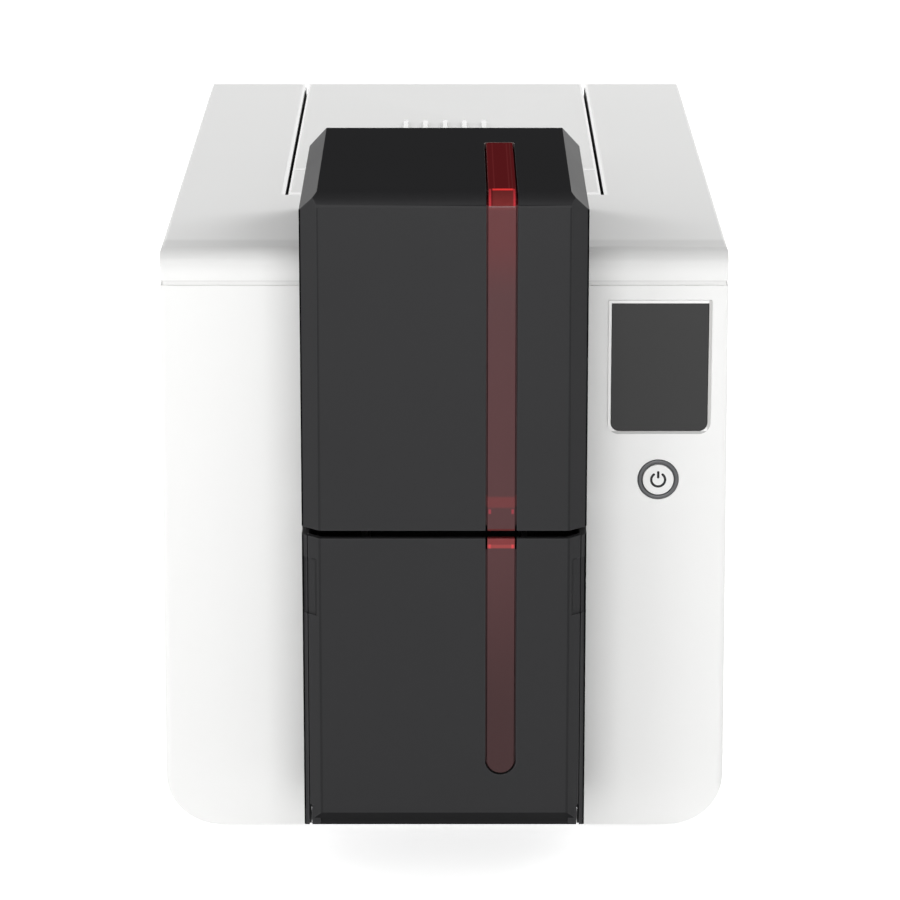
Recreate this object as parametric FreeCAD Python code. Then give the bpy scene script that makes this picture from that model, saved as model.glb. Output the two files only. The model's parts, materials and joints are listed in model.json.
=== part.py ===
import FreeCAD, Part
import math
import os
from FreeCAD import Vector

# A desktop id card printer with a card feeder column on its front.
# All lengths are in millimetres. Seen from the front, X is to the right; the front faces -Y.
# The origin lies on the table under the middle of the overall box.

# Overall form
body_width = 205.0
body_top_width = 202.0
body_depth = 333.0
body_height = 217.0
column_reach = 48.0
hood_rise = 30.0
foot_stand = 1.5
bottom_corner = 20.0
top_side_round = 1.5
top_front_round = 6.0
top_back_round = 3.0
front_corner = 2.5
back_corner = 4.0

# Gaps and walls shared by many pieces
wall = 2.5
running_gap = 0.05
seat_gap = 0.3
overrun = 2.0
same_point = 0.001
thin_rib = 1.2
rib_depth = 3.0
screw_boss_radius = 4.0
screw_boss_inset = 9.0
screw_boss_end_inset = 15.0

# Seam between the two white housings
seam_height = 204.6
seam_groove = 1.6
seam_depth = 0.9

# Lid opening, lid and release bar
lid_width = 118.4
lid_side_gap = 1.0
lid_opening_depth = 238.5
lid_depth = 191.7
lid_seam_gap = 0.5
lid_thickness = 3.0
lid_rim_drop = 9.0
lid_axis_inset = 8.5
lid_axis_drop = 19.0
lid_skirt = 2.0
lid_skirt_wrap = 60.0
lid_skirt_room = 8.0
grip_rib_count = 5
grip_rib_pitch = 8.0
grip_rib_width = 1.8
grip_rib_height = 0.9
grip_rib_length = 22.0
grip_rib_back_inset = 92.5
bar_thickness = 3.0
bar_hinge_inset = 4.0
bar_pin_radius = 1.5
bar_lug_width = 3.0
bar_lug_radius = 3.2
bar_lug_inset = 1.5
hook_x = 48.5
hook_width = 4.0
hook_thickness = 1.6
hook_drop = 10.0
hook_reach = 3.0
bar_stiffener = 5.0

# Column: card feeder hood above, output door below
column_width = 99.9
column_chamfer_x = 6.35
column_chamfer_y = 5.8
column_top_chamfer = 6.85
hood_depth = 120.0
hood_front_round = 5.0
hood_door_gap = 2.8
hood_wall = 2.5
hood_axis_inset = 9.5
hood_axis_drop = 16.5
hood_back_clearance = 1.0
hinge_pin_radius = 2.0
hinge_ear_radius = 5.0
ear_slot_margin = 1.0
pin_engagement = 1.8
ear_foot_round = 6.0
door_top_height = 124.3
door_bottom_height = 15.9
door_bottom_chamfer = 6.6
door_seam_share = 0.66
door_axis_height = 5.0
door_axis_inset = 9.5
door_pin_radius = 1.5
door_lug_width = 3.0
door_lug_radius = 3.4
door_web_rise = 16.0
grip_low_height = 95.7
grip_high_height = 116.2
grip_reach = 2.8
grip_sink = 0.9
channel_gap = 1.35
channel_wall = 2.0

# Red windows
window_centre_x = 19.9
window_slot = 10.9
window_width = 9.6
window_flange = 15.0
window_flange_wall = 1.2
window_back_inset = 28.0
window_low_height = 36.9
window_corner = 2.0

# Screen and power button on the right of the front
screen_centre_x = 77.0
screen_width = 34.7
screen_low_height = 150.4
screen_high_height = 197.4
screen_bottom_round = 3.0
screen_bezel = 1.15
screen_bezel_rise = 0.6
screen_sink = 0.4
screen_glass = 1.6
screen_module = 6.0
button_height = 132.2
button_ring_radius = 7.45
button_ring_rim = 1.7
button_gap = 0.15
button_proud = 0.5
button_travel = 1.2
button_stem_radius = 2.0
button_board = 1.6
button_board_size = 20.0

# Inside of the lower housing
side_rib_count = 5
side_vent_count = 9
side_vent_inset = 30.0
side_vent_low = 34.0
side_vent_height = 26.0

# Base pan and feet
pan_opening_half = 76.0
pan_slot_count = 8
pan_slot_front_y = 20.0
pan_slot_half = 32.0
foot_stud_half = 3.0
foot_corner = 2.0
pan_thickness = 3.0
pan_lip = 6.0
pan_rib = 4.0
foot_half = 7.0
foot_height = 5.5
foot_inset_x = 66.0
foot_front_inset = 18.0
foot_back_inset = 22.0
vent_slot = 2.4
vent_pitch = 6.0
pedestal_width = 14.0

# Engine: two steel side plates between the feeder and the back
plate_inside = 45.0
plate_thickness = 1.5
plate_front_y = -71.0
plate_flange = 12.0
plate_back_y = 165.0
plate_slot_depth = 24.5
plate_top_round = 8.0
plate_window_count = 5
plate_window_width = 30.0
plate_window_low = 14.0
plate_window_high = 50.0
tie_front_y = -60.0
tie_back_y = 148.0
tie_low_height = 20.0
tie_high_height = 120.0
tie_top_inset = 13.0
tie_screw_radius = 1.6
ear_radius = 5.5
tie_rod_half = 3.0
tie_rod_head = 4.5
tie_rod_cap = 2.5
card_height = 148.5
card_width = 54.0
card_length = 85.6
card_thickness = 0.76
nip_rise = 0.2
roller_radius = 6.5
roller_face = 56.0
shaft_radius = 3.0
bush_half = 4.5
bush_flange_half = 5.8
bush_flange = 1.3
bush_proud = 1.0
infeed_y = -30.0
cleaning_y = 8.0
platen_y = 62.0
rear_roller_y = 110.0
pinch_radius = 5.2
pinch_shaft_radius = 2.0
cleaning_radius = 7.0
cleaning_shaft_radius = 2.5
shaft_end_proud = 2.0

# Belt drives
pulley_radius = 6.4
pulley_flange_radius = 8.0
pulley_flange = 1.0
belt_width = 5.0
belt_side_gap = 0.4
belt_thickness = 1.2
belt_gap = 0.3
motor_y = 40.0
motor_drop = 40.0
motor_size = 42.0
motor_length = 33.0
motor_cap = 6.5
motor_corner = 5.0
motor_boss_radius = 11.0
motor_boss = 1.4
motor_shaft_radius = 2.5
feed_belt_x = -38.0
feed_pulley_radius = 4.6
pick_pulley_radius = 5.75

# Ribbon drive and cassette
spool_height = 174.5
takeup_y = 28.0
supply_y = 98.0
core_radius = 6.2
core_bore = 4.1
takeup_pack_radius = 11.0
supply_pack_radius = 15.0
pack_width = 59.0
cheek_inside = 35.5
cheek_thickness = 2.5
cheek_bar_height = 14.0
cheek_post_width = 17.0
cheek_post_rise = 5.5
cheek_rail = 2.5
cheek_pin_radius = 3.0
cheek_pin_inset = 21.0
gear_module = 0.8
takeup_teeth = 36
pinion_teeth = 12
tooth_thin_share = 0.82
gear_face = 3.0
gear_centre_x = 42.0
gear_hub_radius = 4.0
pinion_shaft_radius = 1.6
tooth_tip_share = 0.9
tooth_root_share = 1.2
pressure_angle = 20.0
pinion_angle = 200.0
ribbon_motor_size = 25.0
ribbon_motor_length = 24.0
film_thickness = 0.3
film_half_span = 9.0
film_head_gap = 0.4

# Print head on the lid
head_line_height = 150.4
head_half_depth = 7.0
head_height = 8.0
head_bead_radius = 1.6
sink_depth = 22.0
sink_height = 24.0
sink_base = 3.0
fin_count = 11
fin_thickness = 1.4
arm_thickness = 2.0
arm_depth = 13.0
arm_gap = 1.0
arm_pin_radius = 1.5
arm_pin_rise = 1.0
frame_plate = 3.0
frame_side_gap = 5.0
frame_rib = 9.0
frame_front_inset = 6.0
knuckle_inside = 47.0
knuckle_width = 6.0

# Card feeder
feeder_wall = 2.3
feeder_floor = 2.5
feeder_height = 203.5
feeder_side_gap = 0.55
feeder_skirt = 19.9
guide_gap = 0.6
guide_thickness = 2.0
guide_height = 209.0
gate_y = -92.0
stack_gap = 1.5
gate_slack = 0.35
pick_y = -125.0
pick_radius = 8.0
pick_face = 30.0
pick_slot_gap = 1.5
finger_width = 26.0
finger_drop = 24.0
weight_height = 9.0
weight_gap = 1.2
weight_grip = 12.0
gauge_width = 16.0
gauge_height = 10.0
gauge_thickness = 2.0
feeder_slope = 14.0
feeder_front_rise = 18.0
feeder_relief = 12.0
finger_round = 6.0

# Output bin
bin_floor_height = 29.0
bin_floor = 2.0
bin_back_y = -95.0
bin_back_drop = 16.3
bin_guide_height = 88.0
bin_guide = 2.0
bin_guide_inset = 6.0
bin_lip = 9.0
bin_front_gap = 8.0
chute_end_gap = 3.0
chute_rise = 15.0

# Diverter flap between the gate and the infeed roller
flap_y = -84.0
flap_height = 141.5
flap_length = 20.0
flap_thickness = 1.6
flap_pin_radius = 1.5
flap_lean = 12.0

# Back of the housing
rear_flap_width = 64.0
rear_flap_height = 27.0
rear_flap_low = 134.0
rear_flap_pin = 0.7
rear_flap_pin_length = 2.0
panel_centre_x = 72.0
panel_width = 48.0
panel_low = 14.0
panel_height = 46.0
panel_thickness = 1.5
panel_lip = 1.5
fan_size = 60.0
fan_depth = 15.0
fan_centre_height = 92.0
fan_bore = 28.5
fan_hub_radius = 12.0
fan_blade_count = 7
fan_blade_gap = 1.5
fan_blade_thickness = 1.0
fan_blade_pitch = 38.0
fan_strut = 3.0
fan_shaft_radius = 1.5
fan_blade_share = 0.7
grille_bar = 3.0
board_thickness = 1.6
board_x = 78.0
board_length = 150.0
board_height = 110.0
board_low = 12.0
chip_height = 3.0
chip_shares = [(0.1, 0.15, 0.12, 0.16, 1.0), (0.35, 0.2, 0.2, 0.26, 0.8), (0.65, 0.25, 0.1, 0.12, 1.0),
               (0.4, 0.6, 0.3, 0.1, 1.6), (0.1, 0.5, 0.18, 0.1, 2.4)]
capacitor_pitch = 12.0
capacitor_inset = 18.0
capacitor_count = 2
capacitor_radius = 4.0
capacitor_length = 12.0
socket_sizes = {
    "power": (3.0, 13.0, 13.0),
    "usb": (18.5, 12.0, 11.0),
    "network": (32.0, 16.0, 12.0),
}
power_socket_depth = 14.0
power_well_radius = 5.2
power_pin_radius = 1.0
socket_depth = 16.0
socket_wall = 1.2
socket_floor = 3.0
socket_contact = 5.0
usb_tongue_width = 5.6
usb_tongue_height = 3.2
lock_slot_width = 7.0
lock_slot_height = 3.0
lock_slot_low = 12.0
lock_slot_round = 1.0

# Places worked out from the sizes above
front_y = -(body_depth + column_reach) / 2
back_y = -front_y
body_y = front_y + column_reach
base_z = foot_stand
top_z = base_z + body_height
seam_z = base_z + seam_height
seam_low = seam_z - seam_groove / 2
seam_high = seam_z + seam_groove / 2
hood_top_z = top_z + hood_rise
lid_half = lid_width / 2
lid_opening_half = lid_half + lid_side_gap
lid_opening_y = back_y - lid_opening_depth
lid_front_y = back_y - lid_depth
lid_axis_y = back_y - lid_axis_inset
lid_axis_z = top_z - lid_axis_drop
column_half = column_width / 2
column_flat_half = column_half - column_chamfer_x
column_side_y = front_y + column_chamfer_y
channel_half = column_half + channel_gap
hood_back_y = front_y + hood_depth
channel_back_y = hood_back_y + hood_back_clearance
hood_axis_y = hood_back_y - hood_axis_inset
hood_axis_z = hood_top_z - hood_axis_drop
door_top_z = base_z + door_top_height
hood_bottom_z = door_top_z + hood_door_gap
door_bottom_z = base_z + door_bottom_height
door_axis_y = front_y + door_axis_inset
door_axis_z = door_bottom_z + door_axis_height
card_z = base_z + card_height
roller_z = card_z + nip_rise - roller_radius
pinch_z = roller_z + roller_radius + seat_gap + pinch_radius
cleaning_z = roller_z + roller_radius + seat_gap + cleaning_radius
motor_z = roller_z - motor_drop
plate_outside = plate_inside + plate_thickness
pan_low_z = base_z + wall
pan_top_z = pan_low_z + pan_thickness
spool_z = base_z + spool_height
plate_top_z = spool_z + plate_slot_depth
takeup_pitch_radius = gear_module * takeup_teeth / 2
pinion_pitch_radius = gear_module * pinion_teeth / 2
gear_distance = takeup_pitch_radius + pinion_pitch_radius
pinion_y = takeup_y + gear_distance * math.cos(math.radians(pinion_angle))
pinion_z = spool_z + gear_distance * math.sin(math.radians(pinion_angle))
head_line_z = base_z + head_line_height
feeder_half = column_half - hood_wall - feeder_side_gap
feeder_front_y = column_side_y + hood_wall
feeder_back_y = plate_front_y - seat_gap
feeder_top_z = base_z + feeder_height
feeder_bottom_z = card_z - feeder_skirt
guide_half = card_width / 2 + guide_gap
belt_x = -(plate_outside + bush_proud + seat_gap + pulley_flange + belt_side_gap + belt_width / 2)
pick_z = card_z + nip_rise - pick_radius
button_z = base_z + button_height
bezel_y = body_y - screen_bezel_rise
screen_y = bezel_y + screen_sink
flap_pivot_z = base_z + flap_height
rear_flap_z = base_z + rear_flap_low
rear_flap_y = back_y - wall / 2
fan_z = base_z + fan_centre_height
bin_front_y = door_axis_y + bin_front_gap
chute_end_y = plate_front_y - chute_end_gap
chute_high_z = door_top_z - bin_back_drop + chute_rise
panel_z = base_z + panel_low


def box(x0, x1, y0, y1, z0, z1):
    return Part.makeBox(x1 - x0, y1 - y0, z1 - z0, Vector(x0, y0, z0))


def rod_x(x0, x1, y, z, radius):
    return Part.makeCylinder(radius, x1 - x0, Vector(x0, y, z), Vector(1, 0, 0))


def rod_y(x, y0, y1, z, radius):
    return Part.makeCylinder(radius, y1 - y0, Vector(x, y0, z), Vector(0, 1, 0))


def rod_z(x, y, z0, z1, radius):
    return Part.makeCylinder(radius, z1 - z0, Vector(x, y, z0))


def join(shapes):
    return shapes[0].multiFuse(shapes[1:]).removeSplitter() if len(shapes) > 1 else shapes[0]


def other_side(shape):
    return shape.mirror(Vector(0, 0, 0), Vector(1, 0, 0))


def rounded_outline(points, radii, place):
    """A closed wire through flat points, each corner rounded by its own radius."""
    count = len(points)
    starts, middles, ends = [], [], []
    for i, (a, b) in enumerate(points):
        before = points[i - 1]
        after = points[(i + 1) % count]
        back = Vector(before[0] - a, before[1] - b, 0).normalize()
        ahead = Vector(after[0] - a, after[1] - b, 0).normalize()
        corner = Vector(a, b, 0)
        radius = radii[i]
        if radius <= 0:
            starts.append(corner)
            middles.append(None)
            ends.append(corner)
            continue
        half = back.getAngle(ahead) / 2
        reach = radius / math.tan(half)
        inward = (back + ahead).normalize()
        centre = corner + inward * (radius / math.sin(half))
        starts.append(corner + back * reach)
        middles.append(centre - inward * radius)
        ends.append(corner + ahead * reach)
    edges = []
    for i in range(count):
        if middles[i] is not None:
            arc = Part.Arc(place(starts[i]), place(middles[i]), place(ends[i]))
            edges.append(arc.toShape())
        here, there = place(ends[i]), place(starts[(i + 1) % count])
        if here.distanceToPoint(there) > same_point:
            edges.append(Part.LineSegment(here, there).toShape())
    return Part.Wire(edges)


def prism_x(points, radii, x0, x1):
    """Points are (y, z) pairs."""
    wire = rounded_outline(points, radii, lambda p: Vector(x0, p.x, p.y))
    return Part.Face(wire).extrude(Vector(x1 - x0, 0, 0))


def prism_y(points, radii, y0, y1):
    """Points are (x, z) pairs."""
    wire = rounded_outline(points, radii, lambda p: Vector(p.x, y0, p.y))
    return Part.Face(wire).extrude(Vector(0, y1 - y0, 0))


def prism_z(points, radii, z0, z1):
    """Points are (x, y) pairs."""
    wire = rounded_outline(points, radii, lambda p: Vector(p.x, p.y, z0))
    return Part.Face(wire).extrude(Vector(0, 0, z1 - z0))


def rectangle(a0, a1, b0, b1):
    return [(a0, b0), (a1, b0), (a1, b1), (a0, b1)]


def square(a, b, half):
    """A square outline round the point (a, b)."""
    return rectangle(a - half, a + half, b - half, b + half)


def cut_square(a, b, half, corner):
    """A square outline round the point (a, b) with its corners cut off."""
    inner = half - corner
    return [(a - inner, b - half), (a + inner, b - half), (a + half, b - inner), (a + half, b + inner),
            (a + inner, b + half), (a - inner, b + half), (a - half, b + inner), (a - half, b - inner)]


def hexagon(a, b, half_flats):
    """A hexagon round the point (a, b), given half the width across its flats."""
    reach = half_flats / math.cos(math.pi / 6)
    turns = [math.pi / 3 * i for i in range(6)]
    return [(a + reach * math.cos(turn), b + reach * math.sin(turn)) for turn in turns]


def plate_hole(y, z, radius):
    """A tool that bores the right side plate across."""
    return rod_x(plate_inside - overrun, plate_outside + overrun, y, z, radius + running_gap)


def plate_square(y, z, half):
    """A tool that cuts a square hole across the right side plate."""
    reach = half + running_gap
    return box(plate_inside - overrun, plate_outside + overrun, y - reach, y + reach, z - reach, z + reach)


def half_width(z):
    """Half the width of the white body at height z: its sides lean in slightly."""
    lean = (body_width - body_top_width) / 2 / body_height
    return body_width / 2 - lean * (z - base_z)


def body_block(inset):
    """The white body's outer form, or the same form moved inward by inset."""
    low, high = base_z + inset, top_z - inset
    y0, y1 = body_y + inset, back_y - inset
    wide, narrow = half_width(base_z) - inset, half_width(top_z) - inset
    reach = max(wide, narrow)
    low_round = bottom_corner - inset
    top_round = max(top_side_round - inset, 0)
    front_round = max(front_corner - inset, 0)
    back_round = max(back_corner - inset, 0)
    front_view = prism_y(
        [(-wide, low), (wide, low), (narrow, high), (-narrow, high)],
        [low_round, low_round, top_round, top_round], y0, y1)
    side_view = prism_x(
        rectangle(y0, y1, low, high),
        [0, 0, max(top_back_round - inset, 0), top_front_round - inset],
        -reach - overrun, reach + overrun)
    plan = prism_z(
        rectangle(-reach, reach, y0, y1),
        [front_round, front_round, back_round, back_round], low - overrun, high + overrun)
    return front_view.common(side_view).common(plan)


def slice_z(shape, z0, z1):
    reach = body_width
    return shape.common(box(-reach, reach, front_y - overrun, back_y + overrun, z0, z1))


def screw_places():
    half = min(half_width(base_z), half_width(seam_z)) - screw_boss_inset
    return [(x, y) for x in (-half, half)
            for y in (body_y + screw_boss_end_inset, back_y - screw_boss_end_inset)]


def screw_bosses(z0, z1):
    """Four posts inside the corners of the housing, which take the screws that hold it together."""
    return [rod_z(x, y, z0, z1, screw_boss_radius) for x, y in screw_places()]


def boss_webs(z0, z1):
    """A web from each post to the leaning side wall."""
    low_half, high_half = half_width(z0) - wall + running_gap, half_width(z1) - wall + running_gap
    webs = []
    for x, y in screw_places():
        if x > 0:
            web = prism_y([(x, z0), (low_half, z0), (high_half, z1), (x, z1)], [0] * 4,
                          y - thin_rib / 2, y + thin_rib / 2)
            webs += [web, other_side(web)]
    return webs


def lower_housing():
    shell = body_block(0).cut(body_block(wall))
    shell = slice_z(shell, base_z - overrun, seam_low)
    inner_low = pan_top_z + seat_gap
    return_end_y = bin_back_y
    returns = [
        box(channel_half, channel_half + channel_wall, body_y + wall, return_end_y, inner_low, seam_low),
    ]
    rib_step = body_depth / (side_rib_count + 1)
    low_z, high_z = base_z + bottom_corner, seam_low - rib_depth
    low_half, high_half = half_width(low_z) - wall, half_width(high_z) - wall
    for i in range(side_rib_count):
        rib_y = body_y + rib_step * (i + 1)
        returns.append(prism_y(
            [(low_half - rib_depth, low_z), (low_half + running_gap, low_z),
             (high_half + running_gap, high_z), (high_half - rib_depth, high_z)],
            [0] * 4, rib_y, rib_y + thin_rib))
    inside = [part for piece in returns for part in (piece, other_side(piece))]
    posts = screw_bosses(pan_top_z + rib_depth, seam_low) + boss_webs(low_z, seam_low)
    shell = join([shell] + inside + posts)
    cuts = [
        box(-channel_half, channel_half, body_y - overrun, body_y + wall + overrun,
            base_z - overrun, seam_low + overrun),
        box(-pan_opening_half, pan_opening_half, body_y + wall + pan_lip, back_y - wall - pan_lip,
            base_z - overrun, base_z + wall + seat_gap / 2),
        box(-lid_opening_half, lid_opening_half, back_y - wall - overrun, back_y + overrun,
            lid_axis_z - lid_skirt_room, seam_low + overrun),
        screen_opening(screen_bezel, body_y - overrun, body_y + wall + overrun),
        rod_y(screen_centre_x, body_y - overrun, body_y + wall + overrun, button_z,
              button_ring_radius + running_gap),
        rear_flap_opening(),
        box(panel_centre_x - panel_width / 2, panel_centre_x + panel_width / 2,
            back_y - wall - overrun, back_y + overrun, panel_z, panel_z + panel_height),
    ]
    return shell.cut(cuts + fan_grille() + side_vents())


def fan_grille():
    """Upright slots in the back wall, in front of the fan."""
    slots = []
    count = int((fan_size - grille_bar) / (vent_slot + grille_bar))
    pitch = vent_slot + grille_bar
    for i in range(count):
        x = (i - (count - 1) / 2) * pitch
        reach = math.sqrt(max(fan_bore ** 2 - x ** 2, 0))
        points = rectangle(x - vent_slot / 2, x + vent_slot / 2, fan_z - reach, fan_z + reach)
        slots.append(prism_y(points, [0] * len(points), back_y - wall - overrun, back_y + overrun))
    return slots


def side_vents():
    """Rows of slots low on both sides, towards the back, that let cooling air in."""
    slots = []
    for i in range(side_vent_count):
        y = back_y - side_vent_inset - i * vent_pitch
        wide = max(half_width(base_z), half_width(top_z)) + overrun
        inner = half_width(base_z + side_vent_low) - wall - rib_depth
        slot = box(min(inner, wide - overrun), wide, y - vent_slot / 2, y + vent_slot / 2,
                   base_z + side_vent_low, base_z + side_vent_low + side_vent_height)
        slots += [slot, other_side(slot)]
    return slots


def screen_opening(margin, y0, y1):
    """The screen's outline, square above and rounded below, grown by margin."""
    half = screen_width / 2 + margin
    low = base_z + screen_low_height - margin
    high = base_z + screen_high_height + margin
    points = rectangle(screen_centre_x - half, screen_centre_x + half, low, high)
    low_round = screen_bottom_round + margin
    return prism_y(points, [low_round, low_round, margin / 2, margin / 2], y0, y1)


def rear_flap_opening():
    half = rear_flap_width / 2 + seat_gap
    pins = rod_x(-half - rear_flap_pin_length, half + rear_flap_pin_length, rear_flap_y, rear_flap_z,
                 rear_flap_pin + running_gap)
    hole = box(-half, half, back_y - wall - overrun, back_y + overrun,
               rear_flap_z - wall / 2 - seat_gap, rear_flap_z + rear_flap_height)
    return hole.fuse(pins)


def top_housing():
    shell = body_block(0).cut(body_block(wall))
    cap = slice_z(shell, seam_high, top_z + overrun)
    tongue = slice_z(body_block(seam_depth).cut(body_block(wall)), seam_low, seam_high)
    y0, y1 = body_y + wall, channel_back_y
    under = top_z - wall
    rim_low = top_z - lid_rim_drop
    rim_out = lid_opening_half + channel_wall
    pieces = [
        cap, tongue,
        box(channel_half, channel_half + channel_wall, y0, y1 + channel_wall, seam_low, under),
        box(-channel_half - channel_wall, -channel_half, y0, y1 + channel_wall, seam_low, under),
        box(-channel_half, channel_half, y1, y1 + channel_wall, seam_low, under),
        box(lid_opening_half, rim_out, lid_opening_y, back_y - wall, rim_low, under),
        box(-rim_out, -lid_opening_half, lid_opening_y, back_y - wall, rim_low, under),
        box(-rim_out, rim_out, lid_opening_y - channel_wall, lid_opening_y, rim_low, under),
    ]
    body = join(pieces + screw_bosses(seam_low, under))
    channel = box(-channel_half, channel_half, body_y - overrun, channel_back_y,
                  seam_low - overrun, top_z + overrun)
    opening = box(-lid_opening_half, lid_opening_half, lid_opening_y, back_y + overrun,
                  seam_low - overrun, top_z + overrun)
    axis_y, axis_z = release_axis()
    pin_bores = rod_x(-rim_out - overrun, rim_out + overrun, axis_y, axis_z, bar_pin_radius + running_gap)
    screen = screen_opening(screen_bezel, body_y - overrun, body_y + wall + overrun)
    return body.cut([channel, opening, pin_bores, screen])


def base_pan():
    """The tray under the engine, with vent slots, stiffening ribs and pedestals for the bin."""
    y0, y1 = body_y + wall, back_y - wall
    half = body_width / 2 - bottom_corner - seat_gap
    pan = box(-half, half, y0, y1, pan_low_z, pan_top_z)
    front_half = channel_half - seat_gap
    ribs = [box(-front_half, front_half, y0, y0 + thin_rib, pan_top_z, pan_top_z + pan_rib),
            box(-half, half, y1 - thin_rib, y1, pan_top_z, pan_top_z + pan_rib)]
    edge = box(half - thin_rib, half, y0, y1, pan_top_z, pan_top_z + pan_rib)
    pedestals = box(column_half - pedestal_width, column_half - rib_depth, y0 + pan_rib, bin_back_y,
                    pan_top_z, door_bottom_z)
    pan = join([pan, edge, other_side(edge), pedestals, other_side(pedestals)] + ribs)
    slots = []
    for i in range(pan_slot_count):
        y = pan_slot_front_y + i * vent_pitch * 2
        slots.append(box(-pan_slot_half, pan_slot_half, y, y + vent_slot,
                         pan_low_z - overrun, pan_top_z + overrun))
    reach = foot_stud_half + running_gap
    holes = [box(x - reach, x + reach, y - reach, y + reach, pan_low_z - overrun, base_z + foot_height)
             for x, y in foot_places()]
    return pan.cut(slots + holes)


def foot_places():
    return [(x, y) for x in (-foot_inset_x, foot_inset_x)
            for y in (body_y + foot_front_inset, back_y - foot_back_inset)]


def rubber_feet():
    """Four square feet with a stud that is pressed up into the pan."""
    feet = []
    for x, y in foot_places():
        pad = prism_z(cut_square(x, y, foot_half, foot_corner), [0] * 8, 0, pan_low_z)
        stud = box(x - foot_stud_half, x + foot_stud_half, y - foot_stud_half, y + foot_stud_half,
                   pan_low_z, base_z + foot_height)
        feet.append(pad.fuse(stud))
    return Part.makeCompound(feet)


def lid_cover():
    """The white middle panel of the top with its ribs, and a skirt that wraps round the hinge axis."""
    y0 = lid_front_y
    outer_radius = lid_axis_inset
    inner_radius = lid_axis_inset - lid_skirt
    wrap = math.radians(-lid_skirt_wrap)
    half_wrap = wrap / 2

    def on_axis(radius, angle):
        return Vector(-lid_half, lid_axis_y + radius * math.cos(angle), lid_axis_z + radius * math.sin(angle))

    under = top_z - lid_thickness
    round_back = top_back_round
    corner_share = math.sin(math.pi / 4)
    p = [Vector(-lid_half, y0, under), Vector(-lid_half, y0, top_z),
         Vector(-lid_half, back_y - round_back, top_z),
         Vector(-lid_half, back_y - round_back * (1 - corner_share), top_z - round_back * (1 - corner_share)),
         Vector(-lid_half, back_y, top_z - round_back), on_axis(outer_radius, 0),
         on_axis(outer_radius, half_wrap), on_axis(outer_radius, wrap), on_axis(inner_radius, wrap),
         on_axis(inner_radius, half_wrap), on_axis(inner_radius, 0),
         Vector(-lid_half, back_y - lid_skirt, under)]
    edges = [
        Part.LineSegment(p[0], p[1]), Part.LineSegment(p[1], p[2]), Part.Arc(p[2], p[3], p[4]),
        Part.LineSegment(p[4], p[5]), Part.Arc(p[5], p[6], p[7]), Part.LineSegment(p[7], p[8]),
        Part.Arc(p[8], p[9], p[10]), Part.LineSegment(p[10], p[11]), Part.LineSegment(p[11], p[0])]
    wire = Part.Wire([edge.toShape() for edge in edges])
    panel = Part.Face(wire).extrude(Vector(lid_width, 0, 0))
    return join([panel] + grip_ribs())


def grip_ribs():
    """Low ribs across the lid's middle."""
    ribs = []
    y1 = back_y - grip_rib_back_inset
    for i in range(grip_rib_count):
        x = (i - (grip_rib_count - 1) / 2) * grip_rib_pitch
        ribs.append(box(x - grip_rib_width / 2, x + grip_rib_width / 2, y1 - grip_rib_length, y1,
                        top_z - running_gap, top_z + grip_rib_height))
    return ribs


def lid_frame():
    """The black inner frame under the lid: plate, ribs, hinge knuckles and the print head's arms."""
    half = lid_half - frame_side_gap
    plate_high = top_z - lid_thickness
    plate_low = plate_high - frame_plate
    y0, y1 = lid_front_y + frame_front_inset, lid_axis_y - frame_rib
    plate = box(-half, half, y0, y1, plate_low, plate_high)
    rib = box(half - thin_rib, half, y0, y1, plate_low - frame_rib, plate_low)
    front_rib = box(-half, half, y0, y0 + thin_rib, plate_low - frame_rib, plate_low)
    cross_ribs = [box(-half, half, y - thin_rib, y, plate_low - frame_rib, plate_low)
                  for y in (y1, supply_y + supply_pack_radius + frame_rib)]
    lengthwise = [box(x, x + thin_rib, supply_y + supply_pack_radius + frame_rib, y1,
                      plate_low - frame_rib / 2, plate_low) for x in (-half / 3, half / 3)]
    arm_x = pack_width / 2 + arm_gap
    arm = box(arm_x, arm_x + arm_thickness, platen_y - arm_depth / 2, platen_y + arm_depth / 2,
              head_line_z + head_height / 2, plate_low)
    arm_hole = rod_x(arm_x - overrun, arm_x + arm_thickness + overrun, platen_y,
                     head_line_z + head_height / 2 + arm_pin_rise, arm_pin_radius + running_gap)
    arm = arm.cut(arm_hole)
    x0, x1 = knuckle_inside, knuckle_inside + knuckle_width
    knuckle = rod_x(x0, x1, lid_axis_y, lid_axis_z, ear_radius)
    neck = prism_x(
        [(y1 - frame_rib, plate_high), (y1 - frame_rib, plate_low), (lid_axis_y - ear_radius, lid_axis_z),
         (lid_axis_y, lid_axis_z), (lid_axis_y + ear_radius, lid_axis_z),
         (lid_axis_y + ear_radius, plate_high)],
        [0] * 6, x0, x1)
    bore = rod_x(x0 - overrun, x1 + overrun, lid_axis_y, lid_axis_z, hinge_pin_radius + running_gap)
    hinge = knuckle.fuse(neck).cut(bore)
    right = [rib, arm, hinge]
    left = [other_side(shape) for shape in right]
    return join([plate, front_rib] + cross_ribs + lengthwise + right + left)


def lid_hinge_pins():
    """Two short steel pins, one through each side plate's ear and the lid frame's knuckle."""
    pin = rod_x(plate_inside - shaft_end_proud, knuckle_inside + knuckle_width + shaft_end_proud / 2,
                lid_axis_y, lid_axis_z, hinge_pin_radius)
    return Part.makeCompound([pin, other_side(pin)])


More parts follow.
